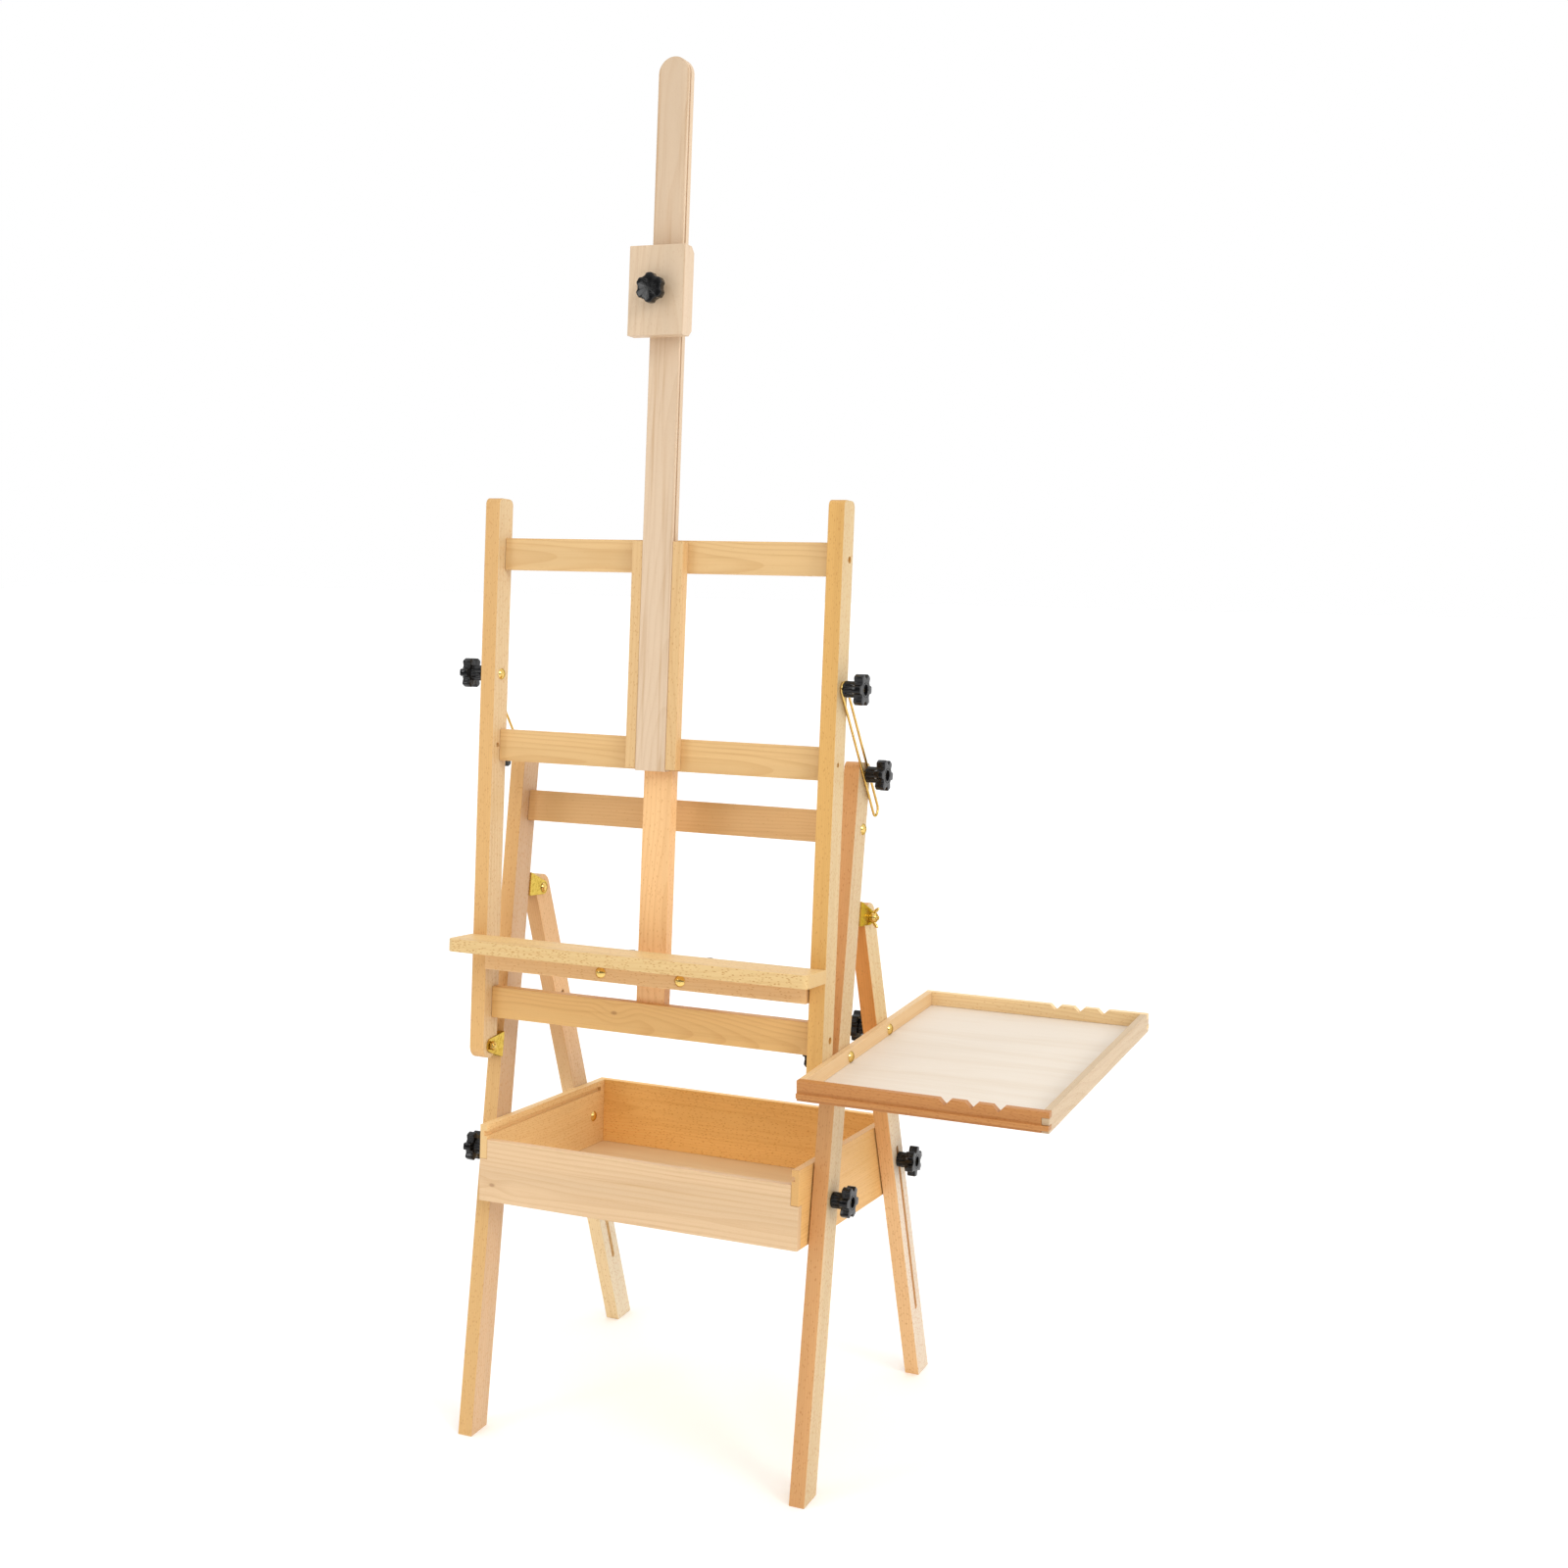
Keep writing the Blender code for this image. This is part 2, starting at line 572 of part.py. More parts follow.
def stays(tilt, lean):
    """Each stay is a closed loop of wire hung on the frame's bolt, with the leg's bolt inside it."""
    axis = empty("stay_axis", (0, 0, STAY_BOLT_UP), lean, tilt)
    low = -(STAY_REACH - STAY_HALF)
    outline = arc((0, 0), STAY_HALF, 0, 180, 8) + arc((0, low), STAY_HALF, 180, 360, 8)
    for name, side in sides("stay"):
        x = side * (HALF_SPAN + 1.5 * GAP + WIRE_R)
        rings = []
        for i, (y, z) in enumerate(outline):
            before, after = outline[i - 1], outline[(i + 1) % len(outline)]
            way = Vector((0, after[0] - before[0], after[1] - before[1])).normalized()
            across = Vector((1, 0, 0)).cross(way)
            spin = [math.radians(45 * k) for k in range(8)]
            rings.append(
                [Vector((x, y, z)) + WIRE_R * (math.cos(a) * Vector((1, 0, 0)) + math.sin(a) * across)
                 for a in spin]
            )
        add(name, skin(bmesh.new(), rings, loop=True), BRASS, axis, round_piece=True)


def ledge(tilt):
    """The canvas ledge: board, batten, the clamp plate behind the bar, two bolts and their knobs."""
    face = -STILE_DEPTH / 2
    back, front = face - GAP, face - LEDGE_REACH
    turn = 0.008
    outline = [(LEDGE_HALF, back), (-LEDGE_HALF, back)]
    outline += arc((-LEDGE_HALF + turn, front + turn), turn, 180, 270, 4)
    outline += arc((LEDGE_HALF - turn, front + turn), turn, 270, 360, 4)
    outline = outline[::-1]
    add("ledge_board", solid(outline, "Z", LEDGE_TOP - LEDGE_THICK, LEDGE_TOP), BEECH, tilt)
    half = INNER - 0.0015
    bar_front = RAIL_FRONT + BAR_FRONT
    low = (-half, BATTEN_FRONT, BATTEN_BOTTOM)
    high = (half, bar_front - GAP, LEDGE_TOP - LEDGE_THICK - GAP)
    batten = add("ledge_batten", block(low, high), BEECH, tilt)
    plate_front = bar_front + BAR_DEPTH + GAP
    plate_back = plate_front + 0.012
    low = (-0.080, plate_front, LEDGE_BOLT_Z - 0.015)
    high = (0.080, plate_back, LEDGE_BOLT_Z + 0.015)
    plate = add("ledge_clamp_plate", block(low, high), BEECH, tilt)
    places = [(side * LEDGE_BOLT_X, LEDGE_BOLT_Z) for side in (-1, 1)]
    for piece in (batten, plate):
        cut(piece, holes(places, "Y", HOLE_R, -0.05, 0.05))
    for name, side in sides("ledge_bolt"):
        base = (side * LEDGE_BOLT_X, BATTEN_FRONT - GAP, LEDGE_BOLT_Z)
        bolt = carriage_bolt(bmesh.new(), base, (0, 1, 0), plate_back + GAP + BOLT_STAND - base[1])
        add(name, bolt, BRASS, tilt, round_piece=True)
    for name, side in sides("ledge_knob"):
        place = (side * LEDGE_BOLT_X, plate_back + GAP, LEDGE_BOLT_Z)
        star_knob(name, place, (0, 1, 0), tilt)


def mast(tilt):
    """The grooved mast, and the canvas clamp that slides on it."""
    half = MAST_WIDTH / 2
    rear = MAST_FACE + MAST_DEPTH
    outline = [(half, MAST_BOTTOM)] + arc((0, MAST_TOP - half), half, 0, 180, 14)
    outline.append((-half, MAST_BOTTOM))
    post = add("mast", solid(outline, "Y", MAST_FACE, rear), BEECH, tilt)
    groove = (MAST_FACE + 0.0035, MAST_FACE + 0.0035 + MAST_GROOVE)
    bm = bmesh.new()
    for side in (-1, 1):
        span = sorted((side * (half - MAST_GROOVE), side * (half + 0.01)))
        prism(bm, rectangle((span[0], groove[0]), (span[1], groove[1])), "Z", 0.1, MAST_TOP + 0.1)
    cut(post, bm)

    plate = (MAST_FACE - GAP - 0.0012, MAST_FACE - GAP)
    near = plate[0] - GAP
    face = near - BLOCK_DEPTH
    top = BLOCK_BOTTOM + BLOCK_HEIGHT
    outline = [(face, BLOCK_BOTTOM), (near - 0.007, BLOCK_BOTTOM), (near, BLOCK_BOTTOM + 0.007)]
    outline += [(near, top - 0.007), (near - 0.007, top), (face, top)]
    jaw = add("clamp_block", solid(outline, "X", -BLOCK_HALF, BLOCK_HALF), BEECH, tilt)
    level = BLOCK_BOTTOM + BLOCK_HEIGHT / 2
    cut(jaw, holes([(0, level)], "Y", HOLE_R, face - 0.01, near + 0.01))
    inner, outer, lip = half + GAP, half + 0.0018, half - MAST_GROOVE + GAP
    low, high = groove[0] + GAP, groove[1] - GAP
    hook = [(inner, plate[1]), (inner, low), (lip, low), (lip, high), (outer, high), (outer, plate[0])]
    outline = hook + [(-x, y) for x, y in reversed(hook)]
    channel = solid(outline, "Z", BLOCK_BOTTOM + 0.010, top - 0.010)
    channel = add("clamp_channel", channel, BRASS, tilt)
    cut(channel, holes([(0, level)], "Y", HOLE_R, plate[0] - 0.01, plate[1] + 0.01))
    place = (0, face - GAP, level)
    star_knob("clamp_knob", place, (0, -1, 0), tilt, stud=MAST_FACE - face, closed=True)


# ---- rear legs -------------------------------------------------------------------------------
def rear_legs(root):
    """Both rear legs, hung on their hinge axis, with the box's sliding bolts and the tray's knob."""
    axis = empty("rear_leg_axis", (0, *REAR_PIVOT_WORLD), -REAR_LEAN, root)
    half = REAR_DEPTH / 2
    drop = math.hypot(REAR_FOOT_Y - REAR_PIVOT_WORLD[0], REAR_PIVOT_WORLD[1])
    slope = half * math.tan(REAR_LEAN)
    outline = arc((0, 0), half, 0, 180, 10) + [(-half, -drop + slope), (half, -drop - slope)]
    tray_place = to_rear(*TRAY_BOLTS[1])
    for name, side in sides("rear_leg"):
        x = sorted((side * INNER, side * HALF_SPAN))
        leg = add(name, solid(outline, "X", *x), BEECH, axis)
        bm = holes([(0, 0), tray_place], "X", HOLE_R, x[0] - 0.01, x[1] + 0.01)
        slot = stadium(-SLOT_BOTTOM + SLOT_HALF, -SLOT_TOP - SLOT_HALF, SLOT_HALF)
        prism(bm, slot, "X", x[0] - 0.01, x[1] + 0.01)
        cut(leg, bm)
    star_knob("tray_rear_knob", (INNER - GAP, *tray_place), (-1, 0, 0), axis, stud=TRAY_X - INNER)

    place = (0, to_rear(*BOX_REAR_BOLT)[1])
    slider = empty("box_rear_bolt_axis", (0, *place), 0, axis)
    for tag, side in (("left", -1), ("right", 1)):
        start = BOX_HALF + GAP
        reach = HALF_SPAN + GAP + BOLT_STAND - start
        profile = [(0, 0), (BOLT_R, 0), (BOLT_R, reach), (0, reach)]
        bolt = turned(bmesh.new(), profile, (side * start, 0, 0), (side, 0, 0))
        add("box_rear_bolt_" + tag, bolt, BRASS, slider, round_piece=True)
        star_knob("box_rear_knob_" + tag, (side * (HALF_SPAN + GAP), 0, 0), (side, 0, 0), slider)


def to_rear(y, z):
    """World (y, z) as local (y, z) in the rear legs' frame."""
    dy, dz = y - REAR_PIVOT_WORLD[0], z - REAR_PIVOT_WORLD[1]
    sin, cos = math.sin(REAR_LEAN), math.cos(REAR_LEAN)
    return dy * cos + dz * sin, -dy * sin + dz * cos


# ---- storage box -----------------------------------------------------------------------------
def storage_box(root):
    """A finger-jointed box hung on the front bolts, its side walls grooved near the top."""
    axis = empty("box_axis", (0, *BOX_FRONT_BOLT), BOX_DROP, root)
    front, back = -BOX_FRONT, BOX_LENGTH - BOX_FRONT
    bottom, top = -BOX_BELOW, BOX_HEIGHT - BOX_BELOW
    finger = top - BOX_FINGER
    step = BOX_WALL + GAP
    inside = BOX_HALF - BOX_WALL
    floor = (bottom + 0.006, bottom + 0.006 + PLY + 2 * GAP)
    for name, side in (("box_left_wall", -1), ("box_right_wall", 1)):
        outline = [(front, top), (front, finger), (front + step, finger), (front + step, bottom)]
        outline += [(back - step, bottom), (back - step, top)]
        wall = solid(outline, "X", *sorted((side * BOX_HALF, side * inside)))
        wall = add(name, wall, BEECH, axis)
        bm = bmesh.new()
        span = sorted((side * (inside - 0.002), side * (inside + GROOVE_DEPTH)))
        level = (top - GROOVE_TOP - GROOVE_HEIGHT, top - GROOVE_TOP)
        prism(bm, rectangle((front - 0.01, level[0]), (back - 0.02, level[1])), "X", *span)
        span = sorted((side * (inside - 0.002), side * (inside + 0.004)))
        prism(bm, rectangle((front + 0.006, floor[0]), (back - 0.006, floor[1])), "X", *span)
        hole = arc((0, 0), HOLE_R, 0, 330, 11)
        prism(bm, hole, "X", *sorted((side * (inside - 0.002), side * (BOX_HALF + 0.002))))
        cut(wall, bm)
        base = (side * (inside + SEAT), *BOX_REAR)
        fuse(wall, carriage_bolt(bmesh.new(), base, (side, 0, 0), 0.005))
    wide, narrow = BOX_HALF, inside - GAP
    low_edge, height = finger - GAP, top - BOX_FRONT_DROP
    outline = [(-wide, bottom), (wide, bottom), (wide, low_edge), (narrow, low_edge)]
    outline += [(narrow, height), (-narrow, height), (-narrow, low_edge), (-wide, low_edge)]
    wall = add("box_front_wall", solid(outline, "Y", front, front + BOX_WALL), BEECH, axis)
    near, far = front + BOX_WALL - 0.004, back - BOX_WALL + 0.004
    slot = inside + 0.0037
    cut(wall, block((-slot, near, floor[0]), (slot, near + 0.006, floor[1])))
    wall = block((-wide, back - BOX_WALL, bottom), (wide, back, top))
    wall = add("box_back_wall", wall, BEECH, axis)
    cut(wall, block((-slot, far - 0.006, floor[0]), (slot, far, floor[1])))
    low = (-inside - 0.0034, near + GAP, floor[0] + GAP)
    high = (inside + 0.0034, far - GAP, floor[1] - GAP)
    add("box_floor", block(low, high), PLYWOOD, axis)


# ---- brush tray ------------------------------------------------------------------------------
def wall_outline(reach, half, fingers):
    """End view of a tray side wall, with fingers through the long rails when asked for."""
    edge = [(reach, 0)]
    for low, high in TRAY_FINGERS if fingers else ():
        edge += [(reach, low), (half, low), (half, high), (reach, high)]
    edge = list(dict.fromkeys(edge)) + [(reach, TRAY_HEIGHT)]
    return edge + [(-y, z) for y, z in reversed(edge)]


def tray(root):
    """A shallow tray bolted to the right legs, with a tongue along each long rail."""
    axis = empty("tray_axis", (TRAY_X, TRAY_CENTRE_Y, TRAY_BOTTOM), 0, root)
    half = TRAY_BODY / 2
    inside = half - TRAY_WALL
    floor = (0.0018, 0.0018 + PLY + 2 * GAP)
    for name, side in (("tray_front_rail", -1), ("tray_rear_rail", 1)):
        outline = [(half, 0), (half, TONGUE_LOW), (half + TONGUE, TONGUE_LOW)]
        outline += [(half + TONGUE, TONGUE_HIGH), (half, TONGUE_HIGH), (half, TRAY_HEIGHT)]
        outline += [(inside, TRAY_HEIGHT), (inside, 0)]
        outline = [(side * y, z) for y, z in outline]
        rail = add(name, solid(outline, "X", 0, TRAY_WIDTH), BEECH, axis)
        bm = bmesh.new()
        over, reach = TRAY_HEIGHT + 0.002, NOTCH_DEPTH + 0.002
        for place in NOTCH_PLACES:
            notch = [(place - reach, over), (place, over - reach), (place + reach, over)]
            span = sorted((side * (inside - 0.002), side * (half + TONGUE + 0.002)))
            prism(bm, notch, "Y", *span)
        span = sorted((side * (inside + 0.004), side * (inside - 0.002)))
        slot = rectangle((TRAY_WALL - 0.004, floor[0]), (TRAY_WIDTH - TRAY_WALL + 0.004, floor[1]))
        prism(bm, slot, "Y", *span)
        cut(rail, bm)
        bm = bmesh.new()
        span = sorted((side * (inside - 0.002), side * (half + 0.0005)))
        for low, high in TRAY_FINGERS:
            under = low - (GAP if low else 0.01)
            room = rectangle((TRAY_WIDTH - TRAY_WALL - GAP, under), (TRAY_WIDTH + 0.01, high + GAP))
            prism(bm, room, "Y", *span)
        cut(rail, bm)
    bolts = [(y - TRAY_CENTRE_Y, z - TRAY_BOTTOM) for y, z in TRAY_BOLTS]
    reach = inside - GAP
    for name, x in (("tray_left_wall", 0), ("tray_right_wall", TRAY_WIDTH - TRAY_WALL)):
        wall = add(name, solid(wall_outline(reach, half, x > 0), "X", x, x + TRAY_WALL), BEECH, axis)
        slot = (TRAY_WALL - 0.004, TRAY_WALL + 0.002) if x == 0 else (x - 0.002, x + 0.004)
        bm = block((slot[0], -inside - 0.004, floor[0]), (slot[1], inside + 0.004, floor[1]))
        if x == 0:
            prism(bm, arc(bolts[0], HOLE_R, 0, 330, 11), "X", -0.002, TRAY_WALL + 0.002)
        cut(wall, bm)
        if x == 0:
            base = (TRAY_WALL - SEAT, *bolts[1])
            fuse(wall, carriage_bolt(bmesh.new(), base, (-1, 0, 0), 0.005))
    low = (TRAY_WALL - 0.0037, -inside - 0.0037, floor[0] + GAP)
    high = (TRAY_WIDTH - TRAY_WALL + 0.0037, inside + 0.0037, floor[1] - GAP)
    add("tray_floor", block(low, high), PLYWOOD, axis)
    base = (TRAY_WALL + GAP, *bolts[0])
    bolt = carriage_bolt(bmesh.new(), base, (-1, 0, 0), base[0] + TRAY_X - INNER + GAP + BOLT_STAND)
    add("tray_front_bolt", bolt, BRASS, axis, round_piece=True)


# ---- places worked out from the dimensions -----------------------------------------------------
TILT_PIVOT_WORLD = along(0, 0, FRONT_LEAN, *TILT_PIVOT)
REAR_PIVOT_WORLD = along(0, 0, FRONT_LEAN, *REAR_PIVOT)
REAR_LEAN = math.atan2(REAR_FOOT_Y - REAR_PIVOT_WORLD[0], REAR_PIVOT_WORLD[1])
BOX_FRONT_BOLT = along(0, 0, FRONT_LEAN, BOX_BOLT_UP, FRONT_DEPTH / 2)
LEG_STAY_BOLT = along(0, 0, FRONT_LEAN, LEG_BOLT_UP, FRONT_DEPTH / 2)
FRAME_STAY_BOLT = along(*TILT_PIVOT_WORLD, FRAME_LEAN, STAY_BOLT_UP, 0)


def middle_of_leg(z):
    """World y of the two legs' middle lines at a height: front leg first."""
    front = z * math.tan(FRONT_LEAN) + FRONT_DEPTH / 2 / math.cos(FRONT_LEAN)
    rear = REAR_FOOT_Y - z * math.tan(REAR_LEAN)
    return front, rear


BOX_REAR_BOLT = along(*BOX_FRONT_BOLT, BOX_DROP, BOX_REAR[1], BOX_REAR[0])
TRAY_BOLTS = [(y, TRAY_BOLT_Z) for y in middle_of_leg(TRAY_BOLT_Z)]
MAST_FACE = -STILE_DEPTH / 2 + 0.001
BRACKET_SPOTS = ((TILT_PIVOT, LOWER_WEB, 0.0, -1), (REAR_PIVOT, UPPER_WEB, FRONT_DEPTH, 1))


def centre_on_floor(root):
    """Moves the whole easel so that its bounding box is centred on the origin, feet on z = 0."""
    bpy.context.view_layer.update()
    graph = bpy.context.evaluated_depsgraph_get()
    corners = []
    for made in bpy.context.scene.objects:
        if made.type == "EMPTY" or made.hide_render:
            continue
        shape = made.evaluated_get(graph)
        mesh = shape.to_mesh()
        corners += [shape.matrix_world @ vertex.co for vertex in mesh.vertices]
        shape.to_mesh_clear()
    for axis in (0, 1):
        values = [corner[axis] for corner in corners]
        root.location[axis] = -(min(values) + max(values)) / 2


def build():
    for old in list(bpy.data.objects):
        bpy.data.objects.remove(old)
    root = empty("easel", (0, 0, 0), 0, None)
    front_legs(root)
    rear_legs(root)
    storage_box(root)
    tray(root)
    tilt = empty("tilt_axis", (0, *TILT_PIVOT_WORLD), FRAME_LEAN, root)
    canvas_frame(tilt)
    reach_y = LEG_STAY_BOLT[0] - FRAME_STAY_BOLT[0]
    reach_z = FRAME_STAY_BOLT[1] - LEG_STAY_BOLT[1]
    stays(tilt, -math.atan2(reach_y, reach_z) - FRAME_LEAN)
    ledge(tilt)
    mast(tilt)
    centre_on_floor(root)


build()
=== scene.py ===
"""Looks of the wooden artist's easel: bevelled beech parts, turned hardware, floor, light, camera.

Each visual piece is built in the frame of the member it belongs to, from the same dimensions as
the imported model, and stands for that model's node. Lengths are in metres.
"""

import math

import bmesh
import bpy
from mathutils import Matrix, Vector


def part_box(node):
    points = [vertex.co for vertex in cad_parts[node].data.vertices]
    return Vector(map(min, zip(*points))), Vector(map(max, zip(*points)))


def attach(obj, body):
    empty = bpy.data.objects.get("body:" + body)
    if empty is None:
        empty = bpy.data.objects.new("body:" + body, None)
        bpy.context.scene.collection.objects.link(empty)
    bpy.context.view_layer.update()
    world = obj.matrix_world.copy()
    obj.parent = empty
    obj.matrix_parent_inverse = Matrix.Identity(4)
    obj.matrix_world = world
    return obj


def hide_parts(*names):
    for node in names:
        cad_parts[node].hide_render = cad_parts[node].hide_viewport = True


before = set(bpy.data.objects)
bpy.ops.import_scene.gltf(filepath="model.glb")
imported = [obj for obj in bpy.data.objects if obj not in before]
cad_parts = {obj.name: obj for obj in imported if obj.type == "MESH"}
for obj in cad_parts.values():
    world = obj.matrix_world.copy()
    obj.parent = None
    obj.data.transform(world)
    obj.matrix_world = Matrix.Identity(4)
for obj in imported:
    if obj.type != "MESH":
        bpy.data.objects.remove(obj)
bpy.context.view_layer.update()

# ---- dimensions ------------------------------------------------------------------------------
# Distances across are from the symmetry plane; places up and behind are in a member's own frame.
# outer and inner faces of the legs and stiles, and the clearance between touching faces
HALF_SPAN, INNER, GAP = 0.240, 0.220, 0.0003
# a cut through a leg or a stile starts and ends clear of it
CUT_FROM, CUT_TO = 0.21, 0.25

# front legs: (up, behind) of the tilt hinge, the rear legs' hinge and the cross rail
FRONT_LEAN, FRONT_DEPTH, FRONT_LENGTH = math.radians(11.42), 0.036, 0.886
TILT_PIVOT, REAR_PIVOT, LEG_RAIL = (0.4993, -0.0300), (0.700, 0.0705), (0.806, 0.026)
LEG_BOLT_UP, BOX_BOLT_UP = 0.872, 0.3628
# the outer faces of the hinge brackets' plates
BRACKET_IN, BRACKET_OUT = INNER - 2 * GAP - 0.0015, HALF_SPAN + 2 * GAP + 0.0015
# rear legs, with the lower and upper end of their slots
REAR_HALF, REAR_FOOT_Y, LEG_SLOT = 0.0175, 0.411, (-0.598, -0.336)

# tilting frame, with the height of each rail's middle
FRAME_LEAN, STILE_HALF, STILE_TOP, END_ROUND = math.radians(6.14), 0.016, 0.686, 0.008
RAIL_HEIGHT, RAIL_DEPTH, RAIL_FRONT = 0.039, 0.016, 0.0003
RAILS = {"lower_rail": 0.0555, "middle_rail": 0.380, "upper_rail": 0.618}
BAR_HALF, BAR_DEPTH, BAR_NOTCH = 0.019, 0.016, (-0.0193, 0.0208)
STAY_UP, STAY_REACH, STAY_HALF, WIRE = 0.4686, 0.195, 0.0076, 0.0015
LEDGE_TOP, LEDGE_THICK, LEDGE_HALF = 0.142, 0.016, 0.2415
BATTEN_FRONT, BATTEN_BOTTOM, LEDGE_BOLT = -0.021, 0.100, (0.054, 0.111)
MAST_FACE, MAST_DEPTH, MAST_HALF = -0.015, 0.015, 0.020
MAST_BOTTOM, MAST_TOP, GROOVE = 0.360, 1.2045, 0.003
BLOCK_BOTTOM, BLOCK_TOP, BLOCK_HALF, BLOCK_DEPTH = 0.875, 0.980, 0.0365, 0.0243

# storage box: how far it reaches in front of and below its front bolts, and its rear bolts
BOX_HALF, BOX_WALL, BOX_LENGTH, BOX_HEIGHT = 0.2185, 0.010, 0.315, 0.097
BOX_FRONT, BOX_BELOW = 0.0540, 0.0526
BOX_DROP, BOX_REAR = math.radians(5.0), (0.2217, -0.0016)

# tray, with its corner in the world and the heights of its finger joints
TRAY_WIDTH, TRAY_BODY, TRAY_WALL, TRAY_HEIGHT = 0.2965, 0.4365, 0.0085, 0.024
TRAY_AT, TRAY_BOLT_Z = (0.2405, 0.1988, 0.5064), 0.520
TRAY_FINGERS = ((0.0, 0.0035), (0.0092, 0.0170))
TRAY_NOTCHES = (0.177, 0.208, 0.239)

# hardware: radii and heights of the star knobs, bores and bolts
KNOB_R, KNOB_H, HUB_R, HUB_H, KNOB_STEPS = 0.0193, 0.0255, 0.0098, 0.0148, 144
CLOSED_STAR = (0.0174, 0.0150)
BORE, SHANK_R, THREAD = 0.0034, 0.0030, 0.001
# how far a bolt stands out past the face its knob sits on, and where the stays' knobs sit
STAND, KNOB_FOOT = 0.0225, HALF_SPAN + 3 * GAP + 2 * WIRE

# for each axis: the two others in order, then the axis itself
AXES = {"X": (1, 2, 0), "Y": (0, 2, 1), "Z": (0, 1, 2)}

# the symmetry plane and the front of the front feet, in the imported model's frame
MIDDLE_X = (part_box("front_leg_left")[0].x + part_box("front_leg_right")[1].x) / 2
FRONT_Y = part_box("front_leg_left")[0].y


def along(y, z, lean, up, back):
    """World (y, z) of a point up and behind in the frame of a member that leans back from (y, z)."""
    sin, cos = math.sin(lean), math.cos(lean)
    return y + up * sin + back * cos, z + up * cos - back * sin


def local(place, lean, y, z):
    """World (y, z) in the frame of a member that leans back from a place."""
    dy, dz = y - place[0], z - place[1]
    sin, cos = math.sin(lean), math.cos(lean)
    return dy * cos - dz * sin, dy * sin + dz * cos


TILT = along(0, 0, FRONT_LEAN, *TILT_PIVOT)
REAR = along(0, 0, FRONT_LEAN, *REAR_PIVOT)
REAR_LEAN = -math.atan2(REAR_FOOT_Y - REAR[0], REAR[1])
BOX = along(0, 0, FRONT_LEAN, BOX_BOLT_UP, FRONT_DEPTH / 2)
BOX_REAR_PLACE = along(*BOX, BOX_DROP, BOX_REAR[1], BOX_REAR[0])
FRAMES = {
    "leg": ((0, 0), FRONT_LEAN),
    "tilt": (TILT, FRAME_LEAN),
    "rear": (REAR, REAR_LEAN),
    "box": (BOX, BOX_DROP),
    "tray": (TRAY_AT[1:], 0.0),
}
TRAY_BOLTS = (
    (TRAY_BOLT_Z * math.tan(FRONT_LEAN) + FRONT_DEPTH / 2 / math.cos(FRONT_LEAN), TRAY_BOLT_Z),
    (REAR_FOOT_Y + TRAY_BOLT_Z * math.tan(REAR_LEAN), TRAY_BOLT_Z),
)


def matrix(key):
    """The matrix of a member's frame: local Z up the member, local Y behind it."""
    (y, z), lean = FRAMES[key]
    x = TRAY_AT[0] if key == "tray" else 0.0
    return Matrix.Translation((MIDDLE_X + x, FRONT_Y + y, z)) @ Matrix.Rotation(-lean, 4, "X")


# ---- materials -------------------------------------------------------------------------------
class Graph:
    """A small helper that adds shader nodes and links them."""

    def __init__(self, name):
        self.material = bpy.data.materials.new(name)
        self.material.use_nodes = True
        self.tree = self.material.node_tree
        self.shader = self.tree.nodes["Principled BSDF"]

    def put(self, socket, value):
        if isinstance(value, bpy.types.NodeSocket):
            self.tree.links.new(value, socket)
        elif value is not None:
            socket.default_value = value

    def node(self, kind, inputs=(), output=0, **settings):
        made = self.tree.nodes.new("ShaderNode" + kind)
        for key, value in settings.items():
            setattr(made, key, value)
        pairs = inputs.items() if isinstance(inputs, dict) else enumerate(inputs)
        for key, value in pairs:
            self.put(made.inputs[key], value)
        return made.outputs[output]

    def math(self, operation, a, b=0.0, clamp=False):
        return self.node("Math", (a, b), operation=operation, use_clamp=clamp)

    def noise(self, vector, scale, detail=2.0, rough=0.5):
        inputs = {"Vector": vector, "Scale": scale, "Detail": detail, "Roughness": rough}
        return self.node("TexNoise", inputs)

    def scaled(self, vector, by):
        return self.node("VectorMath", (vector, by), operation="MULTIPLY")

    def band(self, value, low, high, out_low=0.0, out_high=1.0):
        inputs = {"Value": value, "From Min": low, "From Max": high, "To Min": out_low, "To Max": out_high}
        return self.node("MapRange", inputs, interpolation_type="SMOOTHSTEP")

    def mix(self, factor, a, b, blend="MIX"):
        made = self.tree.nodes.new("ShaderNodeMix")
        made.data_type, made.blend_type = "RGBA", blend
        self.put(made.inputs[0], factor)
        self.put(made.inputs[6], a)
        self.put(made.inputs[7], b)
        return made.outputs[2]

    def bump(self, height, strength, distance):
        inputs = {"Strength": strength, "Distance": distance, "Height": height}
        self.put(self.shader.inputs["Normal"], self.node("Bump", inputs))


def linear(red, green, blue):
    """A colour given as 0 to 255 display values, for a shader."""
    out = []
    for value in (red, green, blue):
        value /= 255
        out.append(value / 12.92 if value <= 0.04045 else ((value + 0.055) / 1.055) ** 2.4)
    return (*out, 1.0)


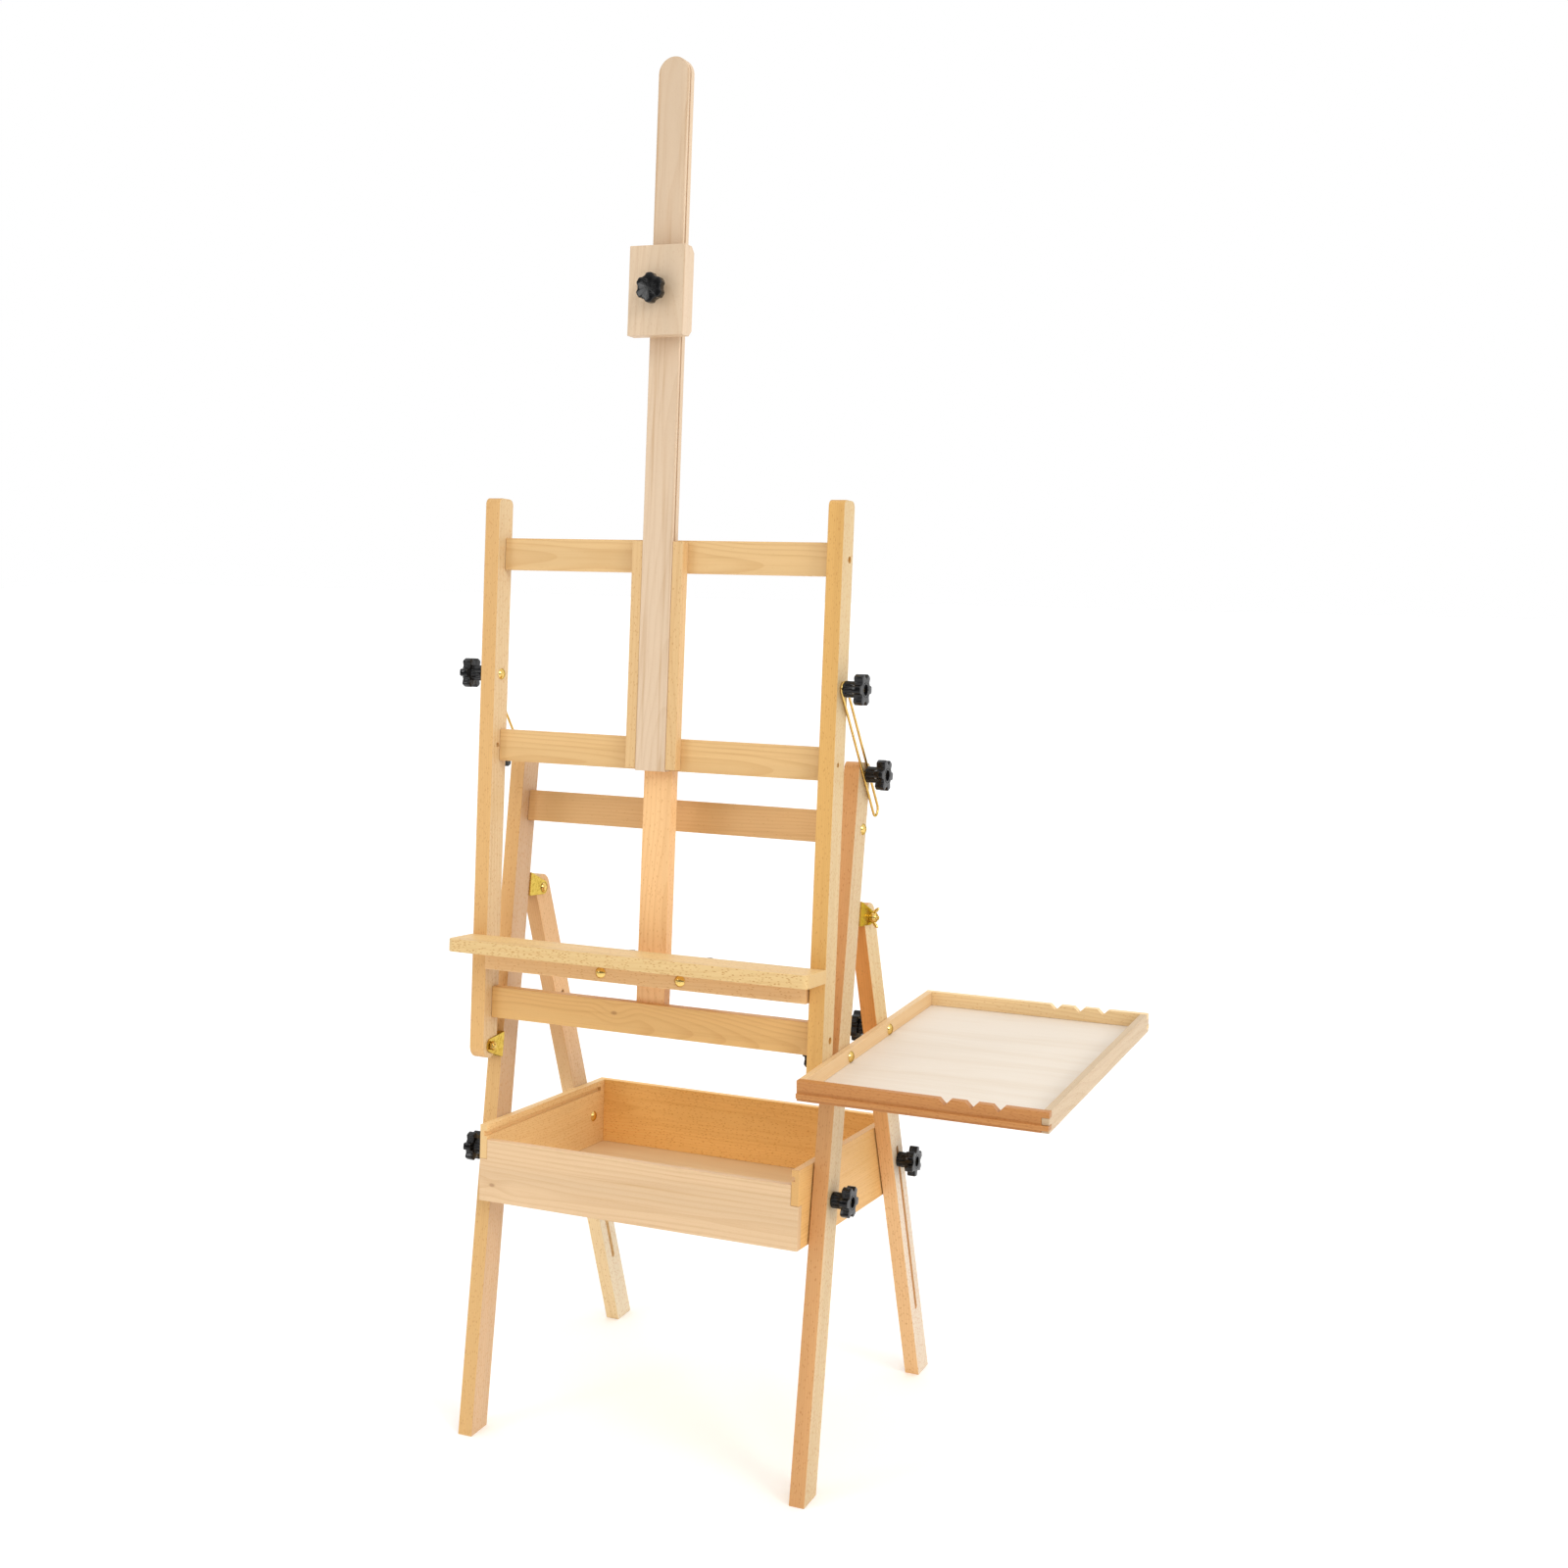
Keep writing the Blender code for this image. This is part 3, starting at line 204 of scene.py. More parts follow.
def wood(name, axis, seed, pith, rings=0.5, flecks=1.0, knot=None, pitch=420, bands=1.0):
    """Oiled beech with its grain along one axis: growth rings, fibres, ray flecks and end grain.

    The pith is where the rings' centre lies across the grain and pitch is how many rings there are
    to a metre. Rings, flecks and bands are strengths. A knot is a place, in AXES order.
    """
    graph = Graph("wood_" + name)
    tone = linear(*TONES[name])
    coords = graph.tree.nodes.new("ShaderNodeTexCoord")
    split = graph.tree.nodes.new("ShaderNodeSeparateXYZ")
    graph.put(split.inputs[0], coords.outputs["Object"])
    parts = [split.outputs[i] for i in AXES[axis]]
    offset = graph.math("ADD", parts[2], seed)
    place = graph.node("CombineXYZ", (parts[0], parts[1], offset))

    # growth rings about a pith that wanders away from the member
    drift = graph.noise(graph.scaled(place, (9, 9, 2.2)), 1.0, 2.0)
    drift = graph.math("MULTIPLY", graph.math("SUBTRACT", drift, 0.5), 0.022)
    across = graph.math("SUBTRACT", parts[0], pith[0])
    deep = graph.math("SUBTRACT", parts[1], pith[1])
    squares = graph.math("ADD", graph.math("MULTIPLY", across, across), graph.math("MULTIPLY", deep, deep))
    radius = graph.math("ADD", graph.math("SQRT", squares), graph.math("MULTIPLY", offset, 0.016))
    radius = graph.math("ADD", radius, drift)
    if knot:
        away = graph.node("VectorMath", (place, (knot[0], knot[1], knot[2] + seed)), operation="SUBTRACT")
        away = graph.scaled(away, (1, 1, 0.55))
        spot = graph.node("VectorMath", (away,), output=1, operation="LENGTH")
        swell = graph.math("MULTIPLY", graph.band(spot, 0.0, 0.022, 1.0, 0.0), 0.0045)
        radius = graph.math("ADD", radius, swell)
    ring = graph.math("FRACT", graph.math("MULTIPLY", radius, pitch))
    late = graph.band(ring, 0.45, 0.97)
    fade = graph.band(ring, 0.97, 1.0, 1.0, 0.0)
    late = graph.math("MULTIPLY", late, fade)

    fibre = graph.noise(graph.scaled(place, (620, 620, 14)), 1.0, 3.0, 0.6)
    broad = graph.noise(graph.scaled(place, (26, 26, 1.6)), 1.0, 2.0)
    streak = graph.noise(graph.scaled(place, (150, 150, 3.0)), 1.0, 2.0)

    # side faces across X are painted paler than the faces across Y: painted light and sheen from the right,
    # with some of the finish's own tone
    normal = graph.tree.nodes.new("ShaderNodeSeparateXYZ")
    graph.put(normal.inputs[0], coords.outputs["Normal"])
    ground = tone
    if name in SIDE_TONES_AND_SHEEN:
        side = graph.band(graph.math("ABSOLUTE", normal.outputs[0]), 0.6, 0.9)
        ground = graph.mix(side, tone, linear(*SIDE_TONES_AND_SHEEN[name]))
    # painted shadow: towards its top a rear leg is painted in darker tones, for the front leg's shade on it
    if name in SHADOWED_TOP_TONES:
        front, shaded_side = SHADOWED_TOP_TONES[name]
        upper = graph.mix(side, linear(*front), linear(*shaded_side))
        ground = graph.mix(graph.band(parts[2], -0.42, -0.16), ground, upper)
    cloud = graph.mix(graph.band(broad, 0.3, 0.7), (0.97, 0.97, 0.97, 1), (1.06, 1.06, 1.06, 1))
    colour = graph.mix(1.0, ground, cloud, "MULTIPLY")
    # late wood, streaks and fibres darken it
    dark = graph.math("MULTIPLY", late, 0.62 * rings)
    dark = graph.math("ADD", dark, graph.band(streak, 0.52, 0.76, 0.0, 0.32 * bands))
    dark = graph.math("ADD", dark, graph.band(fibre, 0.50, 0.78, 0.0, 0.30), clamp=True)
    colour = graph.mix(dark, colour, graph.mix(1.0, ground, (0.84, 0.74, 0.62, 1), "MULTIPLY"))

    # short lens-shaped rays
    cells = graph.tree.nodes.new("ShaderNodeTexVoronoi")
    graph.put(cells.inputs["Vector"], graph.scaled(place, (620, 620, 170)))
    graph.put(cells.inputs["Scale"], 1.0)
    near = graph.band(cells.outputs["Distance"], 0.12, 0.36, 1.0, 0.0)
    chosen = graph.node("SeparateColor", (cells.outputs["Color"],))
    near = graph.math("MULTIPLY", near, graph.band(chosen, 0.45, 0.55))
    ray_tone = [tone[0] * 0.68, tone[1] * 0.47, tone[2] * 0.26, 1.0]
    colour = graph.mix(graph.math("MULTIPLY", near, 0.72 * flecks), colour, ray_tone)
    if knot:
        core = graph.band(spot, 0.0010, 0.0032, 1.0, 0.0)
        colour = graph.mix(graph.math("MULTIPLY", core, 0.5), colour, linear(136, 84, 44))

    # end grain is darker, with pores instead of fibres
    end = graph.band(graph.math("ABSOLUTE", normal.outputs["XYZ".index(axis)]), 0.75, 0.92)
    pores = graph.noise(graph.scaled(place, (1500, 1500, 60)), 1.0, 2.0)
    pale_end = [value * 0.86 for value in tone[:3]] + [1.0]
    deep_end = [tone[0] * 0.84, tone[1] * 0.74, tone[2] * 0.62, 1.0]
    end_tone = graph.mix(graph.band(pores, 0.4, 0.7, 0.2, 0.8), pale_end, deep_end)
    colour = graph.mix(graph.math("MULTIPLY", end, 0.7), colour, end_tone)

    graph.put(graph.shader.inputs["Base Color"], colour)
    graph.put(graph.shader.inputs["Roughness"], graph.band(fibre, 0.3, 0.7, 0.42, 0.56))
    graph.shader.inputs["Specular IOR Level"].default_value = 0.42
    height = graph.math("SUBTRACT", graph.math("MULTIPLY", fibre, 0.6), graph.math("MULTIPLY", near, 0.3))
    graph.bump(graph.math("SUBTRACT", height, graph.math("MULTIPLY", late, 0.25)), 0.35, 0.00012)
    return graph.material


def metal(name, tone, roughness, grime):
    """Plated or solid brass with faint tarnish and fine scratches."""
    graph = Graph(name)
    place = graph.node("TexCoord", output=3)
    cloud = graph.noise(place, 260, 4.0, 0.6)
    scratch = graph.noise(graph.scaled(place, (3000, 3000, 300)), 1.0, 2.0)
    dull = [tone[0] * 0.55, tone[1] * 0.48, tone[2] * 0.35, 1.0]
    colour = graph.mix(graph.band(cloud, 0.45, 0.75, 0.0, grime), tone, dull)
    graph.put(graph.shader.inputs["Base Color"], colour)
    graph.shader.inputs["Metallic"].default_value = 1.0
    graph.shader.inputs["Specular Tint"].default_value = (0.22, 0.14, 0.05, 1)
    rough = graph.band(cloud, 0.3, 0.7, roughness, roughness + 0.14)
    rough = graph.math("ADD", rough, graph.math("MULTIPLY", scratch, 0.06))
    graph.put(graph.shader.inputs["Roughness"], rough)
    graph.bump(scratch, 0.2, 0.00004)
    return graph.material


def plastic():
    """Moulded glossy black phenolic with fine orange peel and light handling wear."""
    graph = Graph("moulded_black")
    place = graph.node("TexCoord", output=3)
    peel = graph.noise(place, 900, 2.0)
    smear = graph.noise(place, 120, 4.0, 0.65)
    colour = graph.mix(graph.band(smear, 0.4, 0.7), (0.005, 0.005, 0.0055, 1), (0.012, 0.012, 0.0125, 1))
    graph.put(graph.shader.inputs["Base Color"], colour)
    graph.put(graph.shader.inputs["Roughness"], graph.band(smear, 0.35, 0.7, 0.10, 0.24))
    graph.shader.inputs["Specular IOR Level"].default_value = 0.32
    graph.bump(peel, 0.10, 0.0001)
    return graph.material


def ply(name, tone, seed):
    """Thin pale plywood: faint straight rotary-cut figure and a few darker lines."""
    graph = Graph("ply_" + name)
    coords = graph.tree.nodes.new("ShaderNodeTexCoord")
    place = graph.node("VectorMath", (coords.outputs["Object"], (seed, 0.3, 0.0)), operation="ADD")
    wander = graph.noise(graph.scaled(place, (1.6, 5, 1)), 1.0, 2.0)
    drift = graph.scaled(wander, (3, 3, 3))
    moved = graph.node("VectorMath", (graph.scaled(place, (1.6, 34, 1)), drift), operation="ADD")
    figure = graph.noise(moved, 1.0, 4.0, 0.6)
    fibre = graph.noise(graph.scaled(place, (22, 900, 1)), 1.0, 3.0)
    shade = [tone[0] * 0.86, tone[1] * 0.78, tone[2] * 0.68, 1.0]
    colour = graph.mix(graph.band(figure, 0.42, 0.75, 0.0, 0.4), tone, shade)
    colour = graph.mix(graph.band(fibre, 0.5, 0.8, 0.0, 0.3), colour, shade)
    graph.put(graph.shader.inputs["Base Color"], colour)
    graph.shader.inputs["Roughness"].default_value = 0.6
    graph.bump(fibre, 0.2, 0.00008)
    return graph.material


# each member's colour as display values, then the side faces of some, painted paler for the light and sheen
# on them
TONES = {
    "front_leg_left": (219, 176, 115), "front_leg_right": (211, 158, 102),
    "front_leg_rail": (218, 176, 120),
    "stile_left": (217, 172, 110), "stile_right": (217, 169, 96),
    "lower_rail": (219, 174, 109), "middle_rail": (222, 182, 124), "upper_rail": (222, 184, 128),
    "centre_bar": (243, 196, 138), "mast_guide_left": (222, 184, 130), "mast_guide_right": (220, 182, 128),
    "ledge_board": (226, 193, 135), "ledge_batten": (236, 194, 138), "ledge_clamp_plate": (220, 180, 124),
    "mast": (215, 189, 159), "clamp_block": (216, 191, 161),
    "rear_leg_left": (236, 208, 160), "rear_leg_right": (230, 186, 132),
    "box_left_wall": (240, 203, 144), "box_right_wall": (228, 181, 114),
    "box_front_wall": (221, 188, 147), "box_back_wall": (254, 206, 128),
    "tray_front_rail": (192, 131, 70), "tray_rear_rail": (240, 211, 161),
    "tray_left_wall": (228, 194, 146), "tray_right_wall": (203, 178, 144),
}
# painted light: paler tones for the side faces, standing in for the light and sheen that fall on them
SIDE_TONES_AND_SHEEN = {
    "front_leg_left": (205, 171, 133), "front_leg_right": (208, 181, 138),
    "stile_left": (213, 184, 139), "stile_right": (212, 184, 136),
    "rear_leg_left": (224, 208, 179), "rear_leg_right": (217, 199, 176),
    "clamp_block": (218, 194, 166), "tray_front_rail": (186, 140, 100),
}
# painted shadow: the top of each rear leg, in the front leg's shade, is painted darker along its length;
# the tones of its front and side faces there
SHADOWED_TOP_TONES = {
    "rear_leg_left": ((208, 164, 110), (230, 187, 134)),
    "rear_leg_right": ((218, 152, 80), (220, 193, 143)),
}
BRASS = metal("bright_brass", linear(236, 202, 122), 0.13, 0.6)
ZINC = metal("yellow_zinc", linear(226, 196, 104), 0.18, 0.7)
BLACK = plastic()

# ---- outlines and solids ---------------------------------------------------------------------
def arc(centre, radius, start, end, steps):
    turn = [math.radians(start + (end - start) * i / steps) for i in range(steps + 1)]
    return [(centre[0] + radius * math.cos(a), centre[1] + radius * math.sin(a)) for a in turn]


def rectangle(low, high):
    return [(low[0], low[1]), (high[0], low[1]), (high[0], high[1]), (low[0], high[1])]


def stadium(low, high, half):
    return arc((0, high), half, 0, 180, 16) + arc((0, low), half, 180, 360, 16)


def prism(bm, outline, axis, low, high):
    """Extrudes a 2-D outline along one axis; the outline holds the other two in X, Y, Z order."""
    order = AXES[axis]
    loops = []
    for level in sorted((low, high)):
        loop = []
        for point in outline:
            place = [0.0, 0.0, 0.0]
            place[order[0]], place[order[1]], place[order[2]] = point[0], point[1], level
            loop.append(bm.verts.new(place))
        loops.append(loop)
    bm.faces.new(loops[0][::-1])
    bm.faces.new(loops[1])
    for i in range(len(outline)):
        j = (i + 1) % len(outline)
        bm.faces.new((loops[0][i], loops[0][j], loops[1][j], loops[1][i]))
    return bm


def solid(outline, axis, low, high):
    return prism(bmesh.new(), outline, axis, low, high)


def block(low, high):
    return solid(rectangle(low[:2], high[:2]), "Z", low[2], high[2])


def hole(bm, place, radius, low, high, axis="X"):
    """Adds a 32-sided rod, to be cut away."""
    return prism(bm, arc(place, radius, 0, 348.75, 31), axis, low, high)


def through(side):
    """Where a cut through a leg or a stile starts and ends along X."""
    return side * CUT_FROM, side * CUT_TO


def piece(name, bm, placed, body, material, nodes=(), bevel=0.0, cutter=None, smooth=False):
    """An object for a piece, riding on its body and standing for its nodes."""
    bmesh.ops.recalc_face_normals(bm, faces=bm.faces)
    mesh = bpy.data.meshes.new(name)
    bm.to_mesh(mesh)
    bm.free()
    made = bpy.data.objects.new(name, mesh)
    bpy.context.scene.collection.objects.link(made)
    made.matrix_world = placed
    mesh.materials.append(material)
    if smooth:
        mesh.shade_smooth()
        mesh.set_sharp_from_angle(angle=math.radians(38))
    if bevel:
        step = made.modifiers.new("edges", "BEVEL")
        step.width, step.segments, step.limit_method = bevel, 2, "ANGLE"
        step.angle_limit = math.radians(40)
    if cutter:
        bmesh.ops.recalc_face_normals(cutter, faces=cutter.faces)
        shape = bpy.data.meshes.new(name + "_cut")
        cutter.to_mesh(shape)
        cutter.free()
        tool = bpy.data.objects.new(name + "_cut", shape)
        bpy.context.scene.collection.objects.link(tool)
        tool.matrix_world = placed
        step = made.modifiers.new("holes", "BOOLEAN")
        step.operation, step.solver, step.object = "DIFFERENCE", "EXACT", tool
        step.use_self = True
        bpy.context.view_layer.update()
        graph = bpy.context.evaluated_depsgraph_get()
        baked = bpy.data.meshes.new_from_object(made.evaluated_get(graph))
        made.modifiers.clear()
        made.data = baked
        bpy.data.objects.remove(tool)
    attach(made, body)
    if nodes:
        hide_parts(*nodes)


def facing(base, direction):
    """A placement at a base whose local Z points in a direction."""
    turn = Vector((0, 0, 1)).rotation_difference(Vector(direction))
    return Matrix.Translation(base) @ turn.to_matrix().to_4x4()


def skin(bm, rings, loop=False):
    """Joins rings of points; a ring of one point closes an end."""
    rings = [[bm.verts.new(point) for point in ring] for ring in rings]
    pairs = list(zip(rings, rings[1:])) + ([(rings[-1], rings[0])] if loop else [])
    for lower, upper in pairs:
        count = max(len(lower), len(upper))
        for i in range(count):
            j = (i + 1) % count
            corners = [lower[i % len(lower)], lower[j % len(lower)]]
            corners += [upper[j % len(upper)], upper[i % len(upper)]]
            bm.faces.new(list(dict.fromkeys(corners)))
    return bm


def circle(radius, height, segments=32):
    if radius == 0:
        return [Vector((0, 0, height))]
    angles = [2 * math.pi * i / segments for i in range(segments)]
    return [Vector((radius * math.cos(a), radius * math.sin(a), height)) for a in angles]


def lathe(profile, segments=32):
    """A turned solid from its radii and heights."""
    return skin(bmesh.new(), [circle(radius, height, segments) for radius, height in profile])


def sides(name):
    return ((name + "_left", -1), (name + "_right", 1))


# ---- hardware --------------------------------------------------------------------------------
def carriage_bolt(name, key, base, direction, length, body, nodes=()):
    """A domed bolt with a slight collar under the head and a chamfered, threaded end."""
    profile = [(0, -0.0036), (0.0018, -0.0035), (0.0034, -0.0031), (0.0048, -0.0024)]
    profile += [(0.0059, -0.0014), (0.0067, -0.0005), (0.0070, 0.0), (SHANK_R, 0.0)]
    start = max(0.001, length - 0.014)
    profile.append((SHANK_R, start))
    for i in range(int((length - start - THREAD) / THREAD)):
        at = start + THREAD * i
        profile += [(SHANK_R, at + 0.0003), (0.00265, at + 0.0007)]
    profile += [(0.0025, length), (0, length)]
    placed = matrix(key) @ facing(base, direction)
    piece(name, lathe(profile), placed, body, BRASS, nodes, smooth=True)


def lobes(height, peak, valley, blend=1.0, inner=0.0):
    """The knob's outline: six flat-ended lobes, the first along local Y, with rounded hollows."""
    points = []
    for i in range(KNOB_STEPS):
        angle = 2 * math.pi * i / KNOB_STEPS
        wave = 0.5 - 0.5 * math.cos(6 * angle)
        wave = min(1.0, max(0.0, (wave - 0.06) / 0.72))
        reach = valley + (peak - valley) * wave * wave * (3 - 2 * wave)
        reach = inner + (reach - inner) * blend
        points.append(Vector((reach * math.cos(angle), reach * math.sin(angle), height)))
    return points


def fluted(radius, height, flute=0.0):
    """A ring of the knob's hub, with twelve narrow flutes."""
    points = []
    for i in range(KNOB_STEPS):
        angle = 2 * math.pi * i / KNOB_STEPS
        reach = radius - flute * (0.5 + 0.5 * math.cos(12 * angle)) ** 3
        points.append(Vector((reach * math.cos(angle), reach * math.sin(angle), height)))
    return points


def star_knob(name, key, place, direction, body, stud=0.0, closed=False):
    """A moulded star knob on a fluted hub, with rounded edges.

    It is bored for a bolt, or shorter and with a stud of its own. Round the bore or the blind eye
    there is a raised boss; a closed knob is smaller and has a plain domed face.
    """
    peak, valley = CLOSED_STAR if closed else (KNOB_R, 0.0155 if stud else 0.0140)
    shorter = 0.0062 if stud else 0.0
    low, top = HUB_H - shorter, KNOB_H - shorter

    def star(height, inset, blend=1.0, inner=0.0):
        return lobes(height, peak - inset, valley - inset, blend, inner)

    rings = [
        fluted(HUB_R - 0.0005, 0.0), fluted(HUB_R, 0.0005), fluted(HUB_R, 0.0022, 0.0002),
        fluted(HUB_R, 0.0028, 0.0012), fluted(HUB_R, low - 0.0014, 0.0012),
        fluted(HUB_R + 0.0004, low - 0.0004, 0.0006),
        star(low, 0.0006, 0.5, HUB_R), star(low, 0.0006), star(low + 0.0002, 0.0002),
        star(low + 0.0006, 0.0), star(top - 0.0012, 0.0), star(top - 0.0006, 0.0002),
        star(top - 0.0002, 0.0007),
    ]
    if closed:
        rings += [star(top, 0.0016), star(top + 0.0003, 0.0, 0.66), star(top + 0.0005, 0.0, 0.33)]
        rings += [[Vector((0, 0, top + 0.0006))]]
    else:
        boss = ((0.0094, 0.0001), (0.0090, 0.0006), (0.0084, 0.0006), (0.0081, 0.0), (0.0068, 0.0))
        rings += [star(top - 0.0001, 0.0012), star(top - 0.0001, 0.0012, 0.3, 0.0098)]
        rings += [fluted(radius, top - below) for radius, below in boss]
        rings += [fluted(0.0064, top - 0.0004), fluted(0.0061, top - 0.0040)]
        eye = top - 0.0041
        rings += [[Vector((0, 0, eye))]] if stud else [fluted(BORE, eye), fluted(BORE, 0.0)]
    foot = [[Vector((0, 0, 0))]] if stud else []
    bm = skin(bmesh.new(), foot + rings, loop=not stud)
    placed = matrix(key) @ facing(place, direction)
    piece(name + "_moulding", bm, placed, body, BLACK, (name,), smooth=True)
    if stud:
        profile = ((0, -stud), (0.0026, -stud), (SHANK_R, 0.001 - stud), (SHANK_R, 0.0002), (0, 0.0002))
        piece(name + "_stud", lathe(profile), placed, body, BRASS, smooth=True)


def wing_nut(name, side):
    """A cast wing nut: a tapered hub and two rounded wings swept outwards."""
    hub = ((0.0063, 0), (0.0065, 0.0006), (0.0055, 0.0066), (0.0050, 0.0072), (BORE, 0.0072), (BORE, 0))
    bm = skin(bmesh.new(), [circle(radius, height) for radius, height in hub], loop=True)
    # a wing's sections: how far out, how high and half the width of each
    path = ((0.0045, 0.0034, 0.0030), (0.0070, 0.0044, 0.0030), (0.0095, 0.0064, 0.0031),
        (0.0112, 0.0080, 0.0026), (0.0120, 0.0088, 0.0014))
    sweep, steps = math.radians(38), 16
    for turn in (1, -1):
        loops = []
        for out, height, half in path:
            thick = 0.0016 if half > 0.002 else 0.0009
            loop = []
            for i in range(steps):
                angle = 2 * math.pi * i / steps
                u, v = thick * math.cos(angle), half * math.sin(angle)
                across = turn * (out - v * math.sin(sweep) * 0.6)
                loop.append(Vector((u, across, height + v * math.cos(sweep) * 0.8)))
            loops.append(loop)
        root = sum(loops[0], Vector()) / steps
        tip = sum(loops[-1], Vector()) / steps + Vector((0, turn * 0.0005, 0.0004))
        skin(bm, [[root]] + loops + [[tip]])
    up, back = REAR_PIVOT
    placed = matrix("leg") @ facing((side * BRACKET_OUT, back, up), (side, 0, 0))
    placed = placed @ Matrix.Rotation(math.pi / 2, 4, "Z")
    piece(name + "_casting", bm, placed, name, BRASS, (name,), smooth=True)


# ---- front legs ------------------------------------------------------------------------------
middle = FRONT_DEPTH / 2
heel = FRONT_DEPTH * math.tan(FRONT_LEAN)
front_tray = local((0, 0), FRONT_LEAN, *TRAY_BOLTS[0])
for name, side in sides("front_leg"):
    tag, outward, inward = name[9:], (side, 0, 0), (-side, 0, 0)
    outline = [(0, 0), (FRONT_DEPTH, heel)]
    outline += arc((FRONT_DEPTH - END_ROUND, FRONT_LENGTH - END_ROUND), END_ROUND, 0, 90, 10)
    outline += arc((END_ROUND, FRONT_LENGTH - END_ROUND), END_ROUND, 90, 180, 10)
    bm = solid(outline, "X", side * INNER, side * HALF_SPAN)
    cutter = hole(bmesh.new(), front_tray, BORE, *through(side))
    stuff = wood(name, "Z", 0.37 if side > 0 else 1.9, (side * 0.30, 0.055), rings=0.45, flecks=1.1)
    piece(name + "_beech", bm, matrix("leg"), "front_legs", stuff, (name,), bevel=0.0007, cutter=cutter)

    base = (side * (INNER - GAP / 3), middle, LEG_BOLT_UP)
    reach = KNOB_FOOT + STAND - abs(base[0])
    carriage_bolt("stay_leg_bolt" + tag, "leg", base, outward, reach, "front_legs")
    base = (side * (BOX_HALF - BOX_WALL - GAP), middle, BOX_BOLT_UP)
    reach = HALF_SPAN + GAP + STAND - abs(base[0])
    carriage_bolt("box_front_bolt" + tag, "leg", base, outward, reach, "front_legs")
    base = (side * (HALF_SPAN + 0.0001), LEG_RAIL[1], LEG_RAIL[0])
    carriage_bolt("leg_rail_bolt" + tag, "leg", base, inward, 0.045, "front_legs")
    knob = "stay_leg_knob" + tag
    star_knob(knob, "leg", (side * KNOB_FOOT, middle, LEG_BOLT_UP), outward, knob)
    knob = "box_front_knob" + tag
    star_knob(knob, "leg", (side * (HALF_SPAN + GAP), middle, BOX_BOLT_UP), outward, knob)

    wing_nut("wing_nut" + tag, side)
    base = (side * BRACKET_IN, REAR_PIVOT[1], REAR_PIVOT[0])
    reach = BRACKET_OUT - BRACKET_IN + 0.0095
    node = "rear_hinge_bolt" + tag
    carriage_bolt("rear_hinge_pin" + tag, "leg", base, outward, reach, "front_legs", (node,))
    base = (side * BRACKET_OUT, TILT_PIVOT[1], TILT_PIVOT[0])
    reach = BRACKET_OUT - BRACKET_IN + 0.0065
    node = "tilt_hinge_bolt" + tag
    carriage_bolt("tilt_hinge_pin" + tag, "leg", base, inward, reach, "front_legs", (node,))
    profile = ((0, 0), (0.0050, 0), (0.0058, 0.0008), (0.0058, 0.0042), (0.0050, 0.005), (0, 0.005))
    placed = matrix("leg") @ facing((side * BRACKET_IN, TILT_PIVOT[1], TILT_PIVOT[0]), inward)
    piece("tilt_hinge_nut" + tag, lathe(profile, 6), placed, "front_legs", BRASS, bevel=0.0003)

star_knob("tray_front_knob", "leg", (INNER - GAP, *front_tray), (-1, 0, 0), "tray_front_knob")
rail_half = RAIL_HEIGHT / 2
bm = block((-INNER + GAP, LEG_RAIL[1] - 0.008, LEG_RAIL[0] - rail_half),
    (INNER - GAP, LEG_RAIL[1] + 0.008, LEG_RAIL[0] + rail_half))
stuff = wood("front_leg_rail", "X", 5.1, (0.09, 0.86))
piece("front_leg_rail_beech", bm, matrix("leg"), "front_legs", stuff, ("front_leg_rail",), bevel=0.0006)
for name in ("lower_hinge_bracket", "upper_hinge_bracket"):
    for node, _ in sides(name):
        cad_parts[node].data.materials.clear()
        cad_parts[node].data.materials.append(ZINC)

# ---- tilting frame ---------------------------------------------------------------------------
middle_line = RAIL_FRONT + 0.0055
for name, side in sides("stile"):
    tag, outward, inward = name[5:], (side, 0, 0), (-side, 0, 0)
    outline = arc((0, 0), STILE_HALF, 180, 360, 20)
    outline += arc((STILE_HALF - END_ROUND, STILE_TOP - END_ROUND), END_ROUND, 0, 90, 10)
    outline += arc((END_ROUND - STILE_HALF, STILE_TOP - END_ROUND), END_ROUND, 90, 180, 10)
    cutter = hole(bmesh.new(), (0, 0), BORE, *through(side))
    hole(cutter, (-0.004, RAILS["middle_rail"]), 0.0030, *through(side))
    for rail in ("lower_rail", "upper_rail"):
        level = RAILS[rail]
        hole(cutter, (middle_line, level), 0.0042, side * (HALF_SPAN - 0.008), side * CUT_TO)
        profile = ((0, 0.0), (0.0016, 0.0004), (0.0034, 0.0), (0.0038, 0.0009), (0, 0.0009))
        placed = matrix("tilt") @ facing((side * (HALF_SPAN - 0.0072), middle_line, level), inward)
        piece(f"rail_screw_{rail[:5]}{tag}", lathe(profile, 24), placed, "canvas_frame", ZINC,
            smooth=True)
    bm = solid(outline, "X", side * INNER, side * HALF_SPAN)
    stuff = wood(name, "Z", 3.3 if side > 0 else 0.8, (side * 0.32, -0.05), rings=0.4, flecks=0.9)
    piece(name + "_beech", bm, matrix("tilt"), "canvas_frame", stuff, (name,), bevel=0.0007, cutter=cutter)
    base = (side * (INNER - 0.0001), 0, STAY_UP)
    reach = KNOB_FOOT + STAND - abs(base[0])
    carriage_bolt("stay_frame_bolt" + tag, "tilt", base, outward, reach, "canvas_frame")
    knob = "stay_frame_knob" + tag
    star_knob(knob, "tilt", (side * KNOB_FOOT, 0, STAY_UP), outward, knob)

